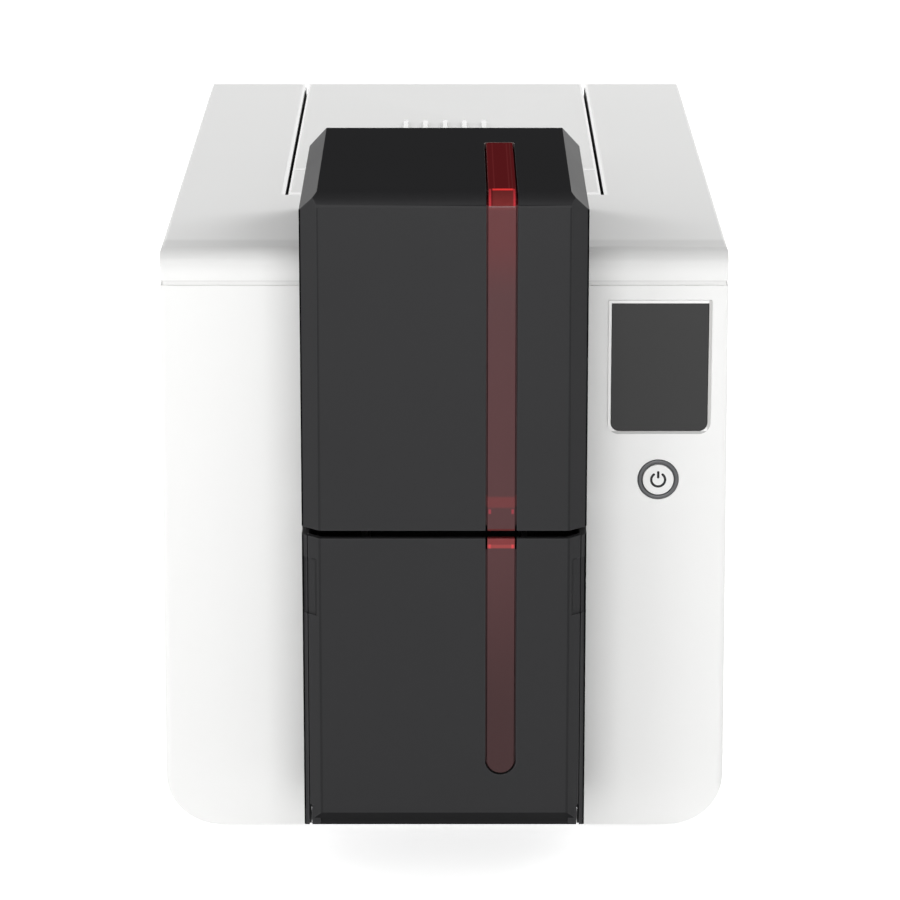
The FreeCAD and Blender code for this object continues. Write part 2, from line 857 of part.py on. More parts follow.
def release_bar():
    """The strip in front of the lid: its back edge is pressed down to let the lid go."""
    y0 = lid_opening_y + seat_gap
    y1 = lid_front_y - lid_seam_gap
    axis_y, axis_z = release_axis()
    under = top_z - bar_thickness
    bar = box(-lid_half, lid_half, y0, y1, under, top_z)
    x0 = lid_half - bar_lug_width - bar_lug_inset
    lug = rod_x(x0, x0 + bar_lug_width, axis_y, axis_z, bar_lug_radius)
    neck = box(x0, x0 + bar_lug_width, axis_y - bar_lug_radius, axis_y + bar_lug_radius, axis_z, under)
    pin = rod_x(x0, lid_opening_half + channel_wall / 2, axis_y, axis_z, bar_pin_radius)
    stiffener = box(-x0, x0, y1 - thin_rib - bar_stiffener, y1 - bar_stiffener, under - bar_stiffener, under)
    hook = prism_x(
        [(y1 - bar_stiffener, under), (y1 - bar_stiffener, under - hook_drop),
         (y1 + hook_reach, under - hook_drop), (y1 + hook_reach, under - hook_drop + hook_thickness),
         (y1 - bar_stiffener + hook_thickness, under - hook_drop + hook_thickness),
         (y1 - bar_stiffener + hook_thickness, under)],
        [0] * 6, hook_x, hook_x + hook_width)
    side = [lug, neck, pin, hook]
    return join([bar, stiffener] + side + [other_side(shape) for shape in side])


def release_axis():
    return lid_opening_y + bar_hinge_inset, top_z - bar_thickness - bar_lug_radius


def slant_inset(run, rise, depth):
    """How far a corner moves along the side and along the front when a slant is moved in by depth."""
    length = math.hypot(run, rise)
    return depth * (length - rise) / run, depth * (length - run) / rise


def column_plan(depth, y1):
    """The column's outline from above, moved in by depth, open line at y1."""
    along_side, along_front = slant_inset(column_chamfer_x, column_chamfer_y, depth)
    side_x = column_half - depth
    flat_x = column_flat_half - along_front
    side_y = column_side_y + along_side
    return [(-side_x, y1), (-side_x, side_y), (-flat_x, front_y + depth),
            (flat_x, front_y + depth), (side_x, side_y), (side_x, y1)]


def hood_block(depth, z0, y1):
    """The hood's outer form, or the same form moved in by depth."""
    along_side, along_top = slant_inset(column_chamfer_x, column_top_chamfer, depth)
    side_x = column_half - depth
    flat_x = column_flat_half - along_top
    high = hood_top_z - depth
    side_high = hood_top_z - column_top_chamfer - along_side
    from_above = prism_z(column_plan(depth, y1), [0] * 6, z0, hood_top_z + overrun)
    from_front = prism_y(
        [(-side_x, z0), (side_x, z0), (side_x, side_high),
         (flat_x, high), (-flat_x, high), (-side_x, side_high)],
        [0] * 6, front_y - overrun, y1)
    from_side = prism_x(
        rectangle(front_y + depth, y1, z0, high), [0, 0, 0, hood_front_round - depth],
        -column_half - overrun, column_half + overrun)
    return from_above.common(from_front).common(from_side)


def window_cut(width, back_inset, corner):
    """An upright tool as wide as the window that ends behind in two small corners."""
    x0, x1 = window_centre_x - width / 2, window_centre_x + width / 2
    y1 = hood_back_y - window_back_inset - back_inset
    points = rectangle(x0, x1, front_y - overrun, y1)
    return prism_z(points, [0, 0, corner, corner], hood_bottom_z - overrun, hood_top_z + overrun)


def feeder_hood():
    """The black cover of the card feeder, hinged at its top back corners."""
    back_wall_y = hood_back_y - hood_wall
    hood = hood_block(0, hood_bottom_z, hood_back_y)
    hood = hood.cut(hood_block(hood_wall, hood_bottom_z - overrun, back_wall_y))
    low_back = box(-column_half - overrun, column_half + overrun, back_wall_y, hood_back_y + overrun,
                   hood_bottom_z - overrun, top_z + hood_back_clearance)
    slot_x0 = feeder_half - feeder_wall - ear_slot_margin
    ear_slot = box(slot_x0, column_half - hood_wall, back_wall_y - overrun, hood_back_y + overrun,
                   top_z, hood_axis_z + hinge_ear_radius + ear_slot_margin)
    hole = rod_x(column_half - hood_wall - overrun, column_half - hood_wall + pin_engagement,
                 hood_axis_y, hood_axis_z, hinge_pin_radius + running_gap)
    hood = hood.cut([low_back, ear_slot, other_side(ear_slot), hole, other_side(hole),
                     window_cut(window_slot, 0, window_corner)])
    rib_x = [-column_flat_half / 2, 0]
    ribs = [box(x, x + thin_rib, front_y + hood_wall - running_gap, front_y + hood_wall + rib_depth,
                hood_bottom_z + rib_depth, hood_top_z - hood_front_round - rib_depth) for x in rib_x]
    return join([hood] + ribs)


def hood_window():
    """The red strip over the hood's top and front, with a flange behind the wall."""
    y1 = hood_back_y
    strip = hood_block(0, hood_bottom_z, y1).cut(hood_block(hood_wall, hood_bottom_z - overrun, y1))
    edge_gap = (window_slot - window_width) / 2
    strip = strip.common(window_cut(window_width, edge_gap, window_corner - edge_gap))
    flange = hood_block(hood_wall, hood_bottom_z + thin_rib, y1)
    flange = flange.cut(hood_block(hood_wall + window_flange_wall, hood_bottom_z - overrun, y1))
    flange = flange.common(window_cut(window_flange, -overrun, window_corner))
    return join([strip, flange])


def hood_hinge_pins():
    """Two pins that carry the hood on the feeder frame's ears."""
    x0 = feeder_half - feeder_wall - thin_rib
    x1 = column_half - hood_wall + pin_engagement - seat_gap / 2
    pin = rod_x(x0, x1, hood_axis_y, hood_axis_z, hinge_pin_radius)
    return Part.makeCompound([pin, other_side(pin)])


def door_block(depth, z1, y1):
    """The lower column's outer form with its slanted bottom edge, or the same moved in by depth."""
    low = door_bottom_z + depth
    run, rise = column_chamfer_y, door_bottom_chamfer
    along_front, along_bottom = slant_inset(run, rise, depth)
    from_above = prism_z(column_plan(depth, y1), [0] * 6, low, z1)
    from_side = prism_x(
        [(front_y + depth, z1), (front_y + depth, door_bottom_z + rise + along_front),
         (front_y + run + along_bottom, low), (y1, low), (y1, z1)],
        [0] * 5, -column_half - overrun, column_half + overrun)
    return from_above.common(from_side)


def door_half_width():
    return column_flat_half + column_chamfer_x * door_seam_share


def door_back_y():
    """Where the slanted wall of the column ends on its inner side."""
    return column_side_y + slant_inset(column_chamfer_x, column_chamfer_y, hood_wall)[0]


def door_window_cut(width, inset):
    """The lower window's outline from the front, round at its lower end."""
    x0, x1 = window_centre_x - width / 2, window_centre_x + width / 2
    low = base_z + window_low_height + inset
    points = rectangle(x0, x1, low, door_top_z + overrun)
    end_round = width / 2 - running_gap
    return prism_y(points, [end_round, end_round, 0, 0], front_y - overrun, column_side_y + overrun * 2)


def output_door():
    """The lower front cover: it turns about pins near its foot and has finger notches in its edges."""
    half = door_half_width()
    inner_y = door_back_y()
    door = door_block(0, door_top_z, inner_y)
    door = door.cut(door_block(hood_wall, door_top_z + overrun, inner_y + overrun))
    door = door.common(box(-half, half, front_y - overrun, inner_y + overrun, base_z, door_top_z + overrun))
    x1 = column_half - hood_wall - seat_gap
    x0 = x1 - door_lug_width
    lug = rod_x(x0, x1, door_axis_y, door_axis_z, door_lug_radius)
    neck = box(x0, x1, front_y + hood_wall - running_gap, door_axis_y, door_axis_z - door_lug_radius,
               door_axis_z + door_lug_radius)
    web = prism_x(
        [(front_y + hood_wall - running_gap, door_axis_z), (door_axis_y, door_axis_z),
         (front_y + hood_wall - running_gap, door_axis_z + door_web_rise)], [0] * 3, x0, x0 + thin_rib)
    hole = rod_x(x0 - overrun, x1 + overrun, door_axis_y, door_axis_z, door_pin_radius + running_gap)
    notch = box(half - grip_reach, half + overrun, front_y - overrun, inner_y,
                base_z + grip_low_height, base_z + grip_high_height)
    notch = notch.cut(door_block(grip_sink, door_top_z, inner_y))
    foot_relief = box(x1, half + overrun, front_y - overrun, inner_y + overrun, base_z,
                      door_axis_z + door_lug_radius)
    rib = box(-half + rib_depth, half - rib_depth, front_y + hood_wall - running_gap,
              front_y + hood_wall + rib_depth, door_top_z - rib_depth - thin_rib, door_top_z - rib_depth)
    side = [lug, neck, web]
    door = join([door, rib] + side + [other_side(shape) for shape in side])
    return door.cut([hole, other_side(hole), notch, other_side(notch), foot_relief, other_side(foot_relief),
                     door_window_cut(window_slot, 0)])


def door_window():
    """The lower red strip with its flange behind the door."""
    inner_y = front_y + hood_wall
    strip = box(window_centre_x - window_slot, window_centre_x + window_slot, front_y, inner_y,
                base_z, door_top_z)
    edge_gap = (window_slot - window_width) / 2
    strip = strip.common(door_window_cut(window_width, edge_gap))
    flange = box(window_centre_x - window_flange, window_centre_x + window_flange, inner_y,
                 inner_y + window_flange_wall, base_z, door_top_z - rib_depth - thin_rib - seat_gap)
    flange = flange.common(door_window_cut(window_flange, -overrun))
    return join([strip, flange])


def door_hinge_pins():
    """Two pins in the side frames that the door's lugs turn on."""
    x0 = column_half - hood_wall - seat_gap - door_lug_width - seat_gap
    x1 = column_half - hood_wall + pin_engagement - seat_gap / 2
    pin = rod_x(x0, x1, door_axis_y, door_axis_z, door_pin_radius)
    return Part.makeCompound([pin, other_side(pin)])


def output_bin():
    """The card bin behind the door: side frames, floor, back, card guides and the chute above its back."""
    y0, y1 = bin_front_y, bin_back_y
    inner_x = column_half - hood_wall
    half = door_half_width() + seat_gap
    frames = door_block(0, door_top_z, y1).cut(
        box(-inner_x, inner_x, front_y - overrun, y1 + overrun, base_z, door_top_z + overrun))
    frames = frames.cut(box(-half, half, front_y - overrun, door_back_y() + seat_gap,
                            base_z, door_top_z + overrun))
    hole = rod_x(inner_x - overrun, inner_x + pin_engagement, door_axis_y, door_axis_z,
                 door_pin_radius + running_gap)
    dish = box(half - overrun, half + grip_reach, front_y - overrun, column_side_y,
               base_z + grip_low_height, base_z + grip_high_height)
    dish = dish.cut(door_block(grip_sink, door_top_z, y1))
    frames = frames.cut([hole, other_side(hole), dish, other_side(dish)])
    floor_z = base_z + bin_floor_height
    reach = inner_x + running_gap
    under = box(-reach, reach, y0, y1, door_bottom_z, door_bottom_z + bin_floor)
    floor = box(-reach, reach, y0, y1, floor_z - bin_floor, floor_z)
    lip = box(-inner_x, inner_x, y0, y0 + bin_floor, door_bottom_z, floor_z + bin_lip)
    lip = lip.cut(box(-finger_width / 2, finger_width / 2, y0 - overrun, y0 + overrun + bin_floor,
                      floor_z, floor_z + bin_lip + overrun))
    back = box(-inner_x, inner_x, y1 - bin_floor, y1, door_bottom_z, door_top_z - bin_back_drop)
    guide_top = floor_z + bin_guide_height
    guide = box(guide_half, guide_half + bin_guide, y0 + bin_guide_inset, y1, floor_z, guide_top)
    relief = box(guide_half - overrun, guide_half + bin_guide + overrun,
                 y0 + bin_guide_inset * 3, y1 - bin_guide_inset * 2,
                 floor_z + bin_guide_inset, guide_top - bin_guide_inset)
    guide = guide.cut(relief)
    tie = box(guide_half + bin_guide - running_gap, reach, y1 - bin_floor - thin_rib * 2,
              y1 - bin_floor, floor_z, guide_top)
    chute_low = door_top_z - bin_back_drop
    chute = prism_x(
        [(y1 - bin_floor, chute_low), (y1 - bin_floor, chute_low - bin_floor), (y1, chute_low - bin_floor),
         (chute_end_y, chute_high_z - bin_floor), (chute_end_y, chute_high_z)],
        [0] * 5, -guide_half - bin_guide, guide_half + bin_guide)
    pieces = [frames, under, floor, lip, back, chute]
    side = [guide, tie]
    return join(pieces + side + [other_side(shape) for shape in side])


def feeder_frame():
    """The card feeder: floor with a slot for the pick roller, guides, gate and the hood's ears."""
    y0, y1 = feeder_front_y, feeder_back_y
    half = feeder_half
    inner = half - feeder_wall
    floor_low = card_z - feeder_floor
    ear_front = hood_axis_y - hinge_ear_radius
    ear_back = hood_axis_y + hinge_ear_radius
    side = prism_x(
        [(y0, feeder_bottom_z), (y1, feeder_bottom_z), (y1, feeder_top_z), (ear_back, feeder_top_z),
         (ear_back, hood_axis_z), (ear_front, hood_axis_z), (ear_front, feeder_top_z),
         (y0 + feeder_slope, feeder_top_z), (y0, feeder_top_z - feeder_slope)],
        [0, 0, 0, 0, 0, 0, ear_foot_round, 0, 0], inner, half)
    ear = rod_x(inner, half, hood_axis_y, hood_axis_z, hinge_ear_radius)
    side = side.fuse(ear)
    reach = inner + running_gap
    floor = box(-reach, reach, y0, gate_y, floor_low, card_z)
    gate = box(-reach, reach, gate_y, gate_y + feeder_wall, feeder_bottom_z, feeder_top_z)
    front = box(-reach, reach, y0, y0 + feeder_wall, feeder_bottom_z, card_z + feeder_front_rise)
    guide_back = guide_half + guide_thickness
    guide_top = base_z + guide_height
    guide = box(guide_half, guide_back, y0 + feeder_wall - running_gap, gate_y + running_gap,
                card_z - running_gap, guide_top)
    relief = box(guide_half - overrun, guide_back + overrun, y0 + feeder_relief, gate_y - feeder_relief,
                 card_z + feeder_relief, guide_top - feeder_relief)
    guide = guide.cut(relief)
    gussets = [box(guide_back - running_gap, reach, y, y + thin_rib * 2,
                   card_z - running_gap, feeder_top_z - feeder_slope)
               for y in (gate_y - feeder_relief, y0 + feeder_relief)]
    right = [side, guide] + gussets
    frame = join([floor, gate, front] + right + [other_side(shape) for shape in right])
    ear_hole = rod_x(inner - overrun, half + overrun, hood_axis_y, hood_axis_z,
                     hinge_pin_radius + running_gap)
    slot = box(-guide_half, guide_half, gate_y - overrun, gate_y + feeder_wall + overrun,
               card_z, card_z + card_thickness + gate_slack)
    pick_half = pick_face / 2 + pick_slot_gap
    pick_reach = pick_radius + pick_slot_gap
    pick_slot = box(-pick_half, pick_half, pick_y - pick_reach, pick_y + pick_reach,
                    floor_low - overrun, card_z + overrun)
    belt_half = belt_width / 2 + belt_side_gap + pulley_flange + pick_slot_gap / 2
    belt_slot = box(feed_belt_x - belt_half, feed_belt_x + belt_half, pick_y - pick_reach,
                    gate_y + feeder_wall + overrun, pick_z - pick_reach, card_z + overrun)
    shaft_hole = rod_x(-half - overrun, half + overrun, pick_y, pick_z, shaft_radius + running_gap)
    flap_hole = rod_x(-half - overrun, half + overrun, flap_y, flap_pivot_z, flap_pin_radius + running_gap)
    finger = prism_y(rectangle(-finger_width / 2, finger_width / 2, card_z + feeder_front_rise - finger_drop,
                               card_z + feeder_front_rise + overrun),
                     [finger_round, finger_round, 0, 0], y0 - overrun, y0 + feeder_wall + overrun)
    return frame.cut([ear_hole, other_side(ear_hole), slot, pick_slot, belt_slot,
                      shaft_hole, flap_hole, finger])


def card_weight():
    """The loose weight that presses the cards onto the pick roller."""
    half = guide_half - weight_gap
    y0 = gate_y - stack_gap - card_length + weight_gap
    y1 = gate_y - stack_gap - weight_gap
    z0 = card_z + nip_rise + seat_gap
    plate = box(-half, half, y0, y1, z0, z0 + weight_height)
    pocket = box(-half + rib_depth, half - rib_depth, y0 + rib_depth, y1 - rib_depth,
                 z0 + rib_depth, z0 + weight_height + overrun)
    middle = (y0 + y1) / 2
    grip_half = half - rib_depth + running_gap
    grip_top = z0 + weight_height + weight_grip
    grip = box(-grip_half, grip_half, middle - thin_rib, middle + thin_rib,
               z0 + rib_depth - running_gap, grip_top)
    scoop = rod_y(0, middle - rib_depth, middle + rib_depth, grip_top, weight_grip / 2)
    return join([plate.cut(pocket), grip.cut(scoop)])


def gauge_slide():
    """The saddle on the gate's top edge that sets the card thickness."""
    x1 = guide_half
    x0 = x1 - gauge_width
    inner_y0, inner_y1 = gate_y - seat_gap, gate_y + feeder_wall + seat_gap
    y0, y1 = inner_y0 - gauge_thickness, inner_y1 + gauge_thickness
    low = feeder_top_z - gauge_height
    seat = feeder_top_z + seat_gap
    top = seat + gauge_thickness
    block = box(x0, x1, y0, y1, low, top)
    groove = box(x0 - overrun, x1 + overrun, inner_y0, inner_y1, low - overrun, seat)
    middle = (x0 + x1) / 2
    tab = box(middle - thin_rib, middle + thin_rib, y0, y1, top - running_gap, top + gauge_thickness * 2)
    return join([block.cut(groove), tab])


def tie_rod_places():
    return [(tie_front_y, base_z + tie_low_height), (tie_back_y, base_z + tie_low_height),
            (tie_back_y, base_z + tie_high_height), (tie_front_y, plate_top_z - tie_top_inset)]


def plate_blank():
    """A side plate without the bores that differ from left to right."""
    x0, x1 = plate_inside, plate_outside
    top = plate_top_z
    main = prism_x(rectangle(plate_front_y, plate_back_y, pan_top_z, top),
                   [0, 0, plate_top_round, plate_top_round], x0, x1)
    finger = box(x0, x1, plate_back_y - plate_top_round * 2, lid_axis_y, lid_axis_z - ear_radius / 3,
                 lid_axis_z + ear_radius / 2)
    ear = rod_x(x0, x1, lid_axis_y, lid_axis_z, ear_radius)
    flange = box(plate_outside - running_gap, plate_outside + plate_flange, plate_front_y, plate_back_y,
                 pan_top_z, pan_top_z + plate_thickness)
    plate = join([main, finger, ear, flange])
    span = plate_back_y - plate_front_y
    windows = []
    for i in range(plate_window_count):
        centre = plate_front_y + span * (i + 1 / 2) / plate_window_count
        windows.append(box(x0 - overrun, x1 + overrun, centre - plate_window_width / 2,
                           centre + plate_window_width / 2, pan_top_z + plate_window_low,
                           pan_top_z + plate_window_high))
    bores = [plate_square(y, roller_z, bush_half) for y in driven_places()]
    bores += [plate_hole(y, pinch_z, pinch_shaft_radius) for y in (infeed_y, rear_roller_y)]
    bores += [plate_hole(y, z, tie_screw_radius) for y, z in tie_rod_places()]
    bores.append(plate_hole(cleaning_y, cleaning_z, cleaning_shaft_radius))
    bores.append(plate_hole(lid_axis_y, lid_axis_z, hinge_pin_radius))
    for y in cassette_pin_places():
        bores.append(plate_hole(y, spool_z, cheek_pin_radius))
        bores.append(box(x0 - overrun, x1 + overrun, y - cheek_pin_radius - running_gap,
                         y + cheek_pin_radius + running_gap, spool_z, top + overrun))
    return plate.cut(windows + bores)


def driven_places():
    return [infeed_y, cleaning_y, platen_y, rear_roller_y]


def cassette_pin_places():
    return [takeup_y + cheek_pin_inset, supply_y - cheek_pin_inset]


def side_plate_left():
    return other_side(plate_blank().cut(plate_hole(motor_y, motor_z, motor_boss_radius)))


def side_plate_right():
    pinion_room = plate_hole(pinion_y, pinion_z, pinion_pitch_radius + gear_module + seat_gap)
    return plate_blank().cut([pinion_room, plate_hole(takeup_y, spool_z, gear_hub_radius)])


def tie_rods():
    """Hexagon rods between the plates, with the screws that hold them."""
    rods = []
    for y, z in tie_rod_places():
        head = prism_x(hexagon(y, z, tie_rod_head), [0] * 6, plate_outside, plate_outside + tie_rod_cap)
        rods.append(join([
            prism_x(hexagon(y, z, tie_rod_half), [0] * 6, -plate_inside, plate_inside),
            rod_x(-plate_outside, plate_outside, y, z, tie_screw_radius),
            head, other_side(head)]))
    return Part.makeCompound(rods)


def shaft_bushes():
    """Square flanged bushes that carry the four driven shafts in both side plates."""
    bushes = []
    for y in driven_places():
        body = prism_x(square(y, roller_z, bush_half), [0] * 4,
                       plate_inside - bush_flange, plate_outside + bush_proud)
        flange = prism_x(square(y, roller_z, bush_flange_half), [0] * 4,
                         plate_inside - bush_flange, plate_inside)
        bore = rod_x(plate_inside - overrun, plate_outside + overrun, y, roller_z, shaft_radius + running_gap)
        bush = body.fuse(flange).cut(bore)
        bushes += [bush, other_side(bush)]
    return Part.makeCompound(bushes)


def plain_pulley(x, y, z, radius):
    """A belt pulley centred on x."""
    half = belt_width / 2 + belt_side_gap
    return rod_x(x - half, x + half, y, z, radius)


def sleeve(y, z, face, radius, inner):
    return rod_x(-face / 2, face / 2, y, z, radius).cut(
        rod_x(-face / 2 - overrun, face / 2 + overrun, y, z, inner + running_gap))


def driven_shaft(y):
    """A steel shaft through both plates with its belt pulley outside the left one."""
    x0 = belt_x - belt_width / 2 - belt_side_gap - pulley_flange - shaft_end_proud
    x1 = plate_outside + bush_proud + shaft_end_proud
    return join([rod_x(x0, x1, y, roller_z, shaft_radius), plain_pulley(belt_x, y, roller_z, pulley_radius)])


def infeed_shaft():
    return join([driven_shaft(infeed_y),
                 plain_pulley(feed_belt_x, infeed_y, roller_z, feed_pulley_radius)])


def pick_shaft():
    reach = feeder_half - seat_gap / 2
    return join([rod_x(-reach, reach, pick_y, pick_z, shaft_radius),
                 plain_pulley(feed_belt_x, pick_y, pick_z, pick_pulley_radius)])


def pinch_roller(y):
    reach = plate_outside - seat_gap
    return join([rod_x(-reach, reach, y, pinch_z, pinch_shaft_radius),
                 rod_x(-roller_face / 2, roller_face / 2, y, pinch_z, pinch_radius)])


def cleaning_roller():
    reach = plate_outside - seat_gap
    return join([rod_x(-reach, reach, cleaning_y, cleaning_z, cleaning_shaft_radius),
                 rod_x(-roller_face / 2, roller_face / 2, cleaning_y, cleaning_z, cleaning_radius)])


def belt_loop(circles, x, gap):
    """A belt round pulleys, given as (y, z, radius) in turn against the clock."""
    def on_circle(circle, angle):
        y, z, radius = circle
        return Vector(x, y + radius * math.cos(angle), z + radius * math.sin(angle))

    def loop(extra):
        grown = [(y, z, radius + extra) for y, z, radius in circles]
        following = grown[1:] + grown[:1]
        angles = []
        for (y0, z0, r0), (y1, z1, r1) in zip(grown, following):
            ahead = math.atan2(z1 - z0, y1 - y0)
            angles.append(ahead - math.acos((r0 - r1) / math.hypot(y1 - y0, z1 - z0)))
        edges = []
        for i, circle in enumerate(following):
            angle = angles[i]
            turn = (angles[(i + 1) % len(angles)] - angle) % (2 * math.pi)
            end = on_circle(circle, angle)
            arc = Part.Arc(end, on_circle(circle, angle + turn / 2), on_circle(circle, angle + turn))
            edges += [Part.LineSegment(on_circle(grown[i], angle), end).toShape(), arc.toShape()]
        return Part.Face(Part.Wire(edges)).extrude(Vector(belt_width, 0, 0))

    return loop(gap + belt_thickness).cut(loop(gap))


def drive_belt():
    circles = [(motor_y, motor_z, pulley_radius), (rear_roller_y, roller_z, pulley_radius),
               (infeed_y, roller_z, pulley_radius)]
    return belt_loop(circles, belt_x - belt_width / 2, belt_gap)


def feed_belt():
    circles = [(infeed_y, roller_z, feed_pulley_radius), (pick_y, pick_z, pick_pulley_radius)]
    return belt_loop(circles, feed_belt_x - belt_width / 2, belt_gap)


def drive_motor():
    """The square stepper motor inside the left side plate."""
    half = motor_size / 2
    x0 = -plate_inside
    x1 = x0 + motor_length
    cap = motor_cap
    outline = cut_square(motor_y, motor_z, half, motor_corner)
    face = prism_x(outline, [0] * 8, x0, x0 + cap)
    end = prism_x(outline, [0] * 8, x1 - cap, x1)
    core = prism_x(cut_square(motor_y, motor_z, half - thin_rib, motor_corner), [0] * 8, x0 + cap, x1 - cap)
    boss = rod_x(x0 - motor_boss, x0, motor_y, motor_z, motor_boss_radius)
    bore = rod_x(x0 - overrun, x0 + motor_length / 2, motor_y, motor_z, motor_shaft_radius + running_gap)
    return join([face, core, end, boss]).cut(bore)


def motor_pulley():
    """The motor's shaft with a pulley whose flanges keep the belt in line."""
    x0 = belt_x - belt_width / 2 - belt_side_gap - pulley_flange - shaft_end_proud
    x1 = -plate_inside + motor_length / 2 - seat_gap
    half = belt_width / 2 + belt_side_gap
    return join([
        rod_x(x0, x1, motor_y, motor_z, motor_shaft_radius),
        plain_pulley(belt_x, motor_y, motor_z, pulley_radius),
        rod_x(belt_x - half - pulley_flange, belt_x - half, motor_y, motor_z, pulley_flange_radius),
        rod_x(belt_x + half, belt_x + half + pulley_flange, motor_y, motor_z, pulley_flange_radius)])


def gear(y, z, teeth, x0, x1, first_angle):
    """A spur gear with straight flanks, one tooth centred on first_angle in degrees."""
    pitch_radius = gear_module * teeth / 2
    tip = pitch_radius + gear_module * tooth_tip_share
    root = pitch_radius - gear_module * tooth_root_share
    half_pitch = math.pi * gear_module / 4 * tooth_thin_share
    slope = math.tan(math.radians(pressure_angle))
    points = []
    for i in range(teeth):
        middle = math.radians(first_angle) + 2 * math.pi * i / teeth
        for radius, side in ((root, -1), (tip, -1), (tip, 1), (root, 1)):
            half_thick = half_pitch - (radius - pitch_radius) * slope
            angle = middle + side * half_thick / radius
            points.append(Vector(x0, y + radius * math.cos(angle), z + radius * math.sin(angle)))
    wire = Part.makePolygon(points + points[:1])
    return Part.Face(wire).extrude(Vector(x1 - x0, 0, 0))


def takeup_gear():
    """The gear that winds the used ribbon, with a hub in the right side plate."""
    x0, x1 = gear_centre_x - gear_face / 2, gear_centre_x + gear_face / 2
    pitch = 360.0 / takeup_teeth
    wheel = gear(takeup_y, spool_z, takeup_teeth, x0, x1, pinion_angle + pitch / 2)
    hub = rod_x(cheek_inside - rib_depth, plate_outside + shaft_end_proud, takeup_y, spool_z, gear_hub_radius)
    return join([wheel, hub])


def ribbon_pinion():
    x0, x1 = gear_centre_x - gear_face / 2, gear_centre_x + gear_face / 2
    wheel = gear(pinion_y, pinion_z, pinion_teeth, x0, x1, pinion_angle + 180)
    shaft = rod_x(x0 - thin_rib, plate_outside + ribbon_motor_length / 2, pinion_y, pinion_z,
                  pinion_shaft_radius)
    return join([wheel, shaft])


def ribbon_motor():
    """The small motor outside the right side plate that turns the take-up gear."""
    half = ribbon_motor_size / 2
    x0, x1 = plate_outside, plate_outside + ribbon_motor_length
    can = rod_x(x0 + thin_rib, x1, pinion_y, pinion_z, half - thin_rib)
    face = prism_x(cut_square(pinion_y, pinion_z, half, motor_corner), [0] * 8, x0, x0 + thin_rib)
    bore = rod_x(x0 - overrun, x0 + ribbon_motor_length / 2 + seat_gap, pinion_y, pinion_z,
                 pinion_shaft_radius + running_gap)
    return join([face, can]).cut(bore)


def spool(y, pack_radius):
    """A ribbon core with its film wound on it."""
    reach = cheek_inside + cheek_thickness + thin_rib
    core = rod_x(-reach, reach, y, spool_z, core_radius)
    pack = rod_x(-pack_width / 2, pack_width / 2, y, spool_z, pack_radius)
    bore = rod_x(-reach - overrun, reach + overrun, y, spool_z, core_bore)
    return join([core, pack]).cut(bore)


def cassette_frame():
    """The ribbon cassette: two cheeks joined by grip rails, resting on pins in the side plates' slots."""
    x0, x1 = cheek_inside, cheek_inside + cheek_thickness
    bar = box(x0, x1, takeup_y, supply_y, spool_z - cheek_bar_height / 2, spool_z + cheek_bar_height / 2)
    pieces = [bar]
    bores = []
    rails = []
    for y, pack_radius in ((takeup_y, takeup_pack_radius), (supply_y, supply_pack_radius)):
        rail_low = spool_z + pack_radius + cheek_post_rise
        half = cheek_post_width / 2
        pieces.append(box(x0, x1, y - half, y + half, spool_z - half, rail_low + cheek_rail))
        rails.append(box(-x0 - running_gap, x0 + running_gap, y - half, y + half,
                         rail_low, rail_low + cheek_rail))
        bores.append(rod_x(x0 - overrun, x1 + overrun, y, spool_z, core_radius + running_gap))
    for y in cassette_pin_places():
        pieces.append(rod_x(x1 - running_gap, plate_outside, y, spool_z, cheek_pin_radius))
    cheek = join(pieces).cut(bores)
    return join([cheek, other_side(cheek)] + rails)


def lower_tangent(point, centre, radius):
    """Where a line from a point, passing under a round pack, touches it."""
    away = math.hypot(centre[0] - point[0], centre[1] - point[1])
    toward = math.atan2(centre[1] - point[1], centre[0] - point[0])
    half = math.asin(radius / away)
    angle = toward - half if centre[0] > point[0] else toward + half
    length = math.sqrt(away ** 2 - radius ** 2)
    return point[0] + length * math.cos(angle), point[1] + length * math.sin(angle)


def ribbon_film():
    """The ribbon between the two packs, level under the print head."""
    low = head_line_z - film_head_gap - film_thickness
    behind = (platen_y + film_half_span, low)
    ahead = (platen_y - film_half_span, low)
    clear = seat_gap + film_thickness * 3 / 2
    supply = lower_tangent(behind, (supply_y, spool_z), supply_pack_radius + clear)
    takeup = lower_tangent(ahead, (takeup_y, spool_z), takeup_pack_radius + clear)
    under = [supply, behind, ahead, takeup]
    over = [(y, z + film_thickness) for y, z in reversed(under)]
    return prism_x(under + over, [0] * 8, -pack_width / 2, pack_width / 2)


def print_head():
    """The ceramic bar with its heating line, carried on two stub pins."""
    half = pack_width / 2
    z0 = head_line_z + head_bead_radius
    block = box(-half, half, platen_y - head_half_depth, platen_y + head_half_depth,
                z0, head_line_z + head_height)
    bead = rod_x(-half, half, platen_y, z0, head_bead_radius)
    pin_z = head_line_z + head_height / 2 + arm_pin_rise
    reach = half + arm_gap + arm_thickness + seat_gap
    pins = rod_x(-reach, reach, platen_y, pin_z, arm_pin_radius)
    return join([block, bead, pins])


def heat_sink():
    """The finned block on top of the print head."""
    half = pack_width / 2
    y0, y1 = platen_y - sink_depth / 2, platen_y + sink_depth / 2
    low = head_line_z + head_height
    base = box(-half, half, y0, y1, low, low + sink_base)
    pitch = (2 * half - fin_thickness) / (fin_count - 1)
    fins = []
    for i in range(fin_count):
        x0 = -half + i * pitch
        fins.append(box(x0, x0 + fin_thickness, y0, y1, low + sink_base - running_gap, low + sink_height))
    return join([base] + fins)


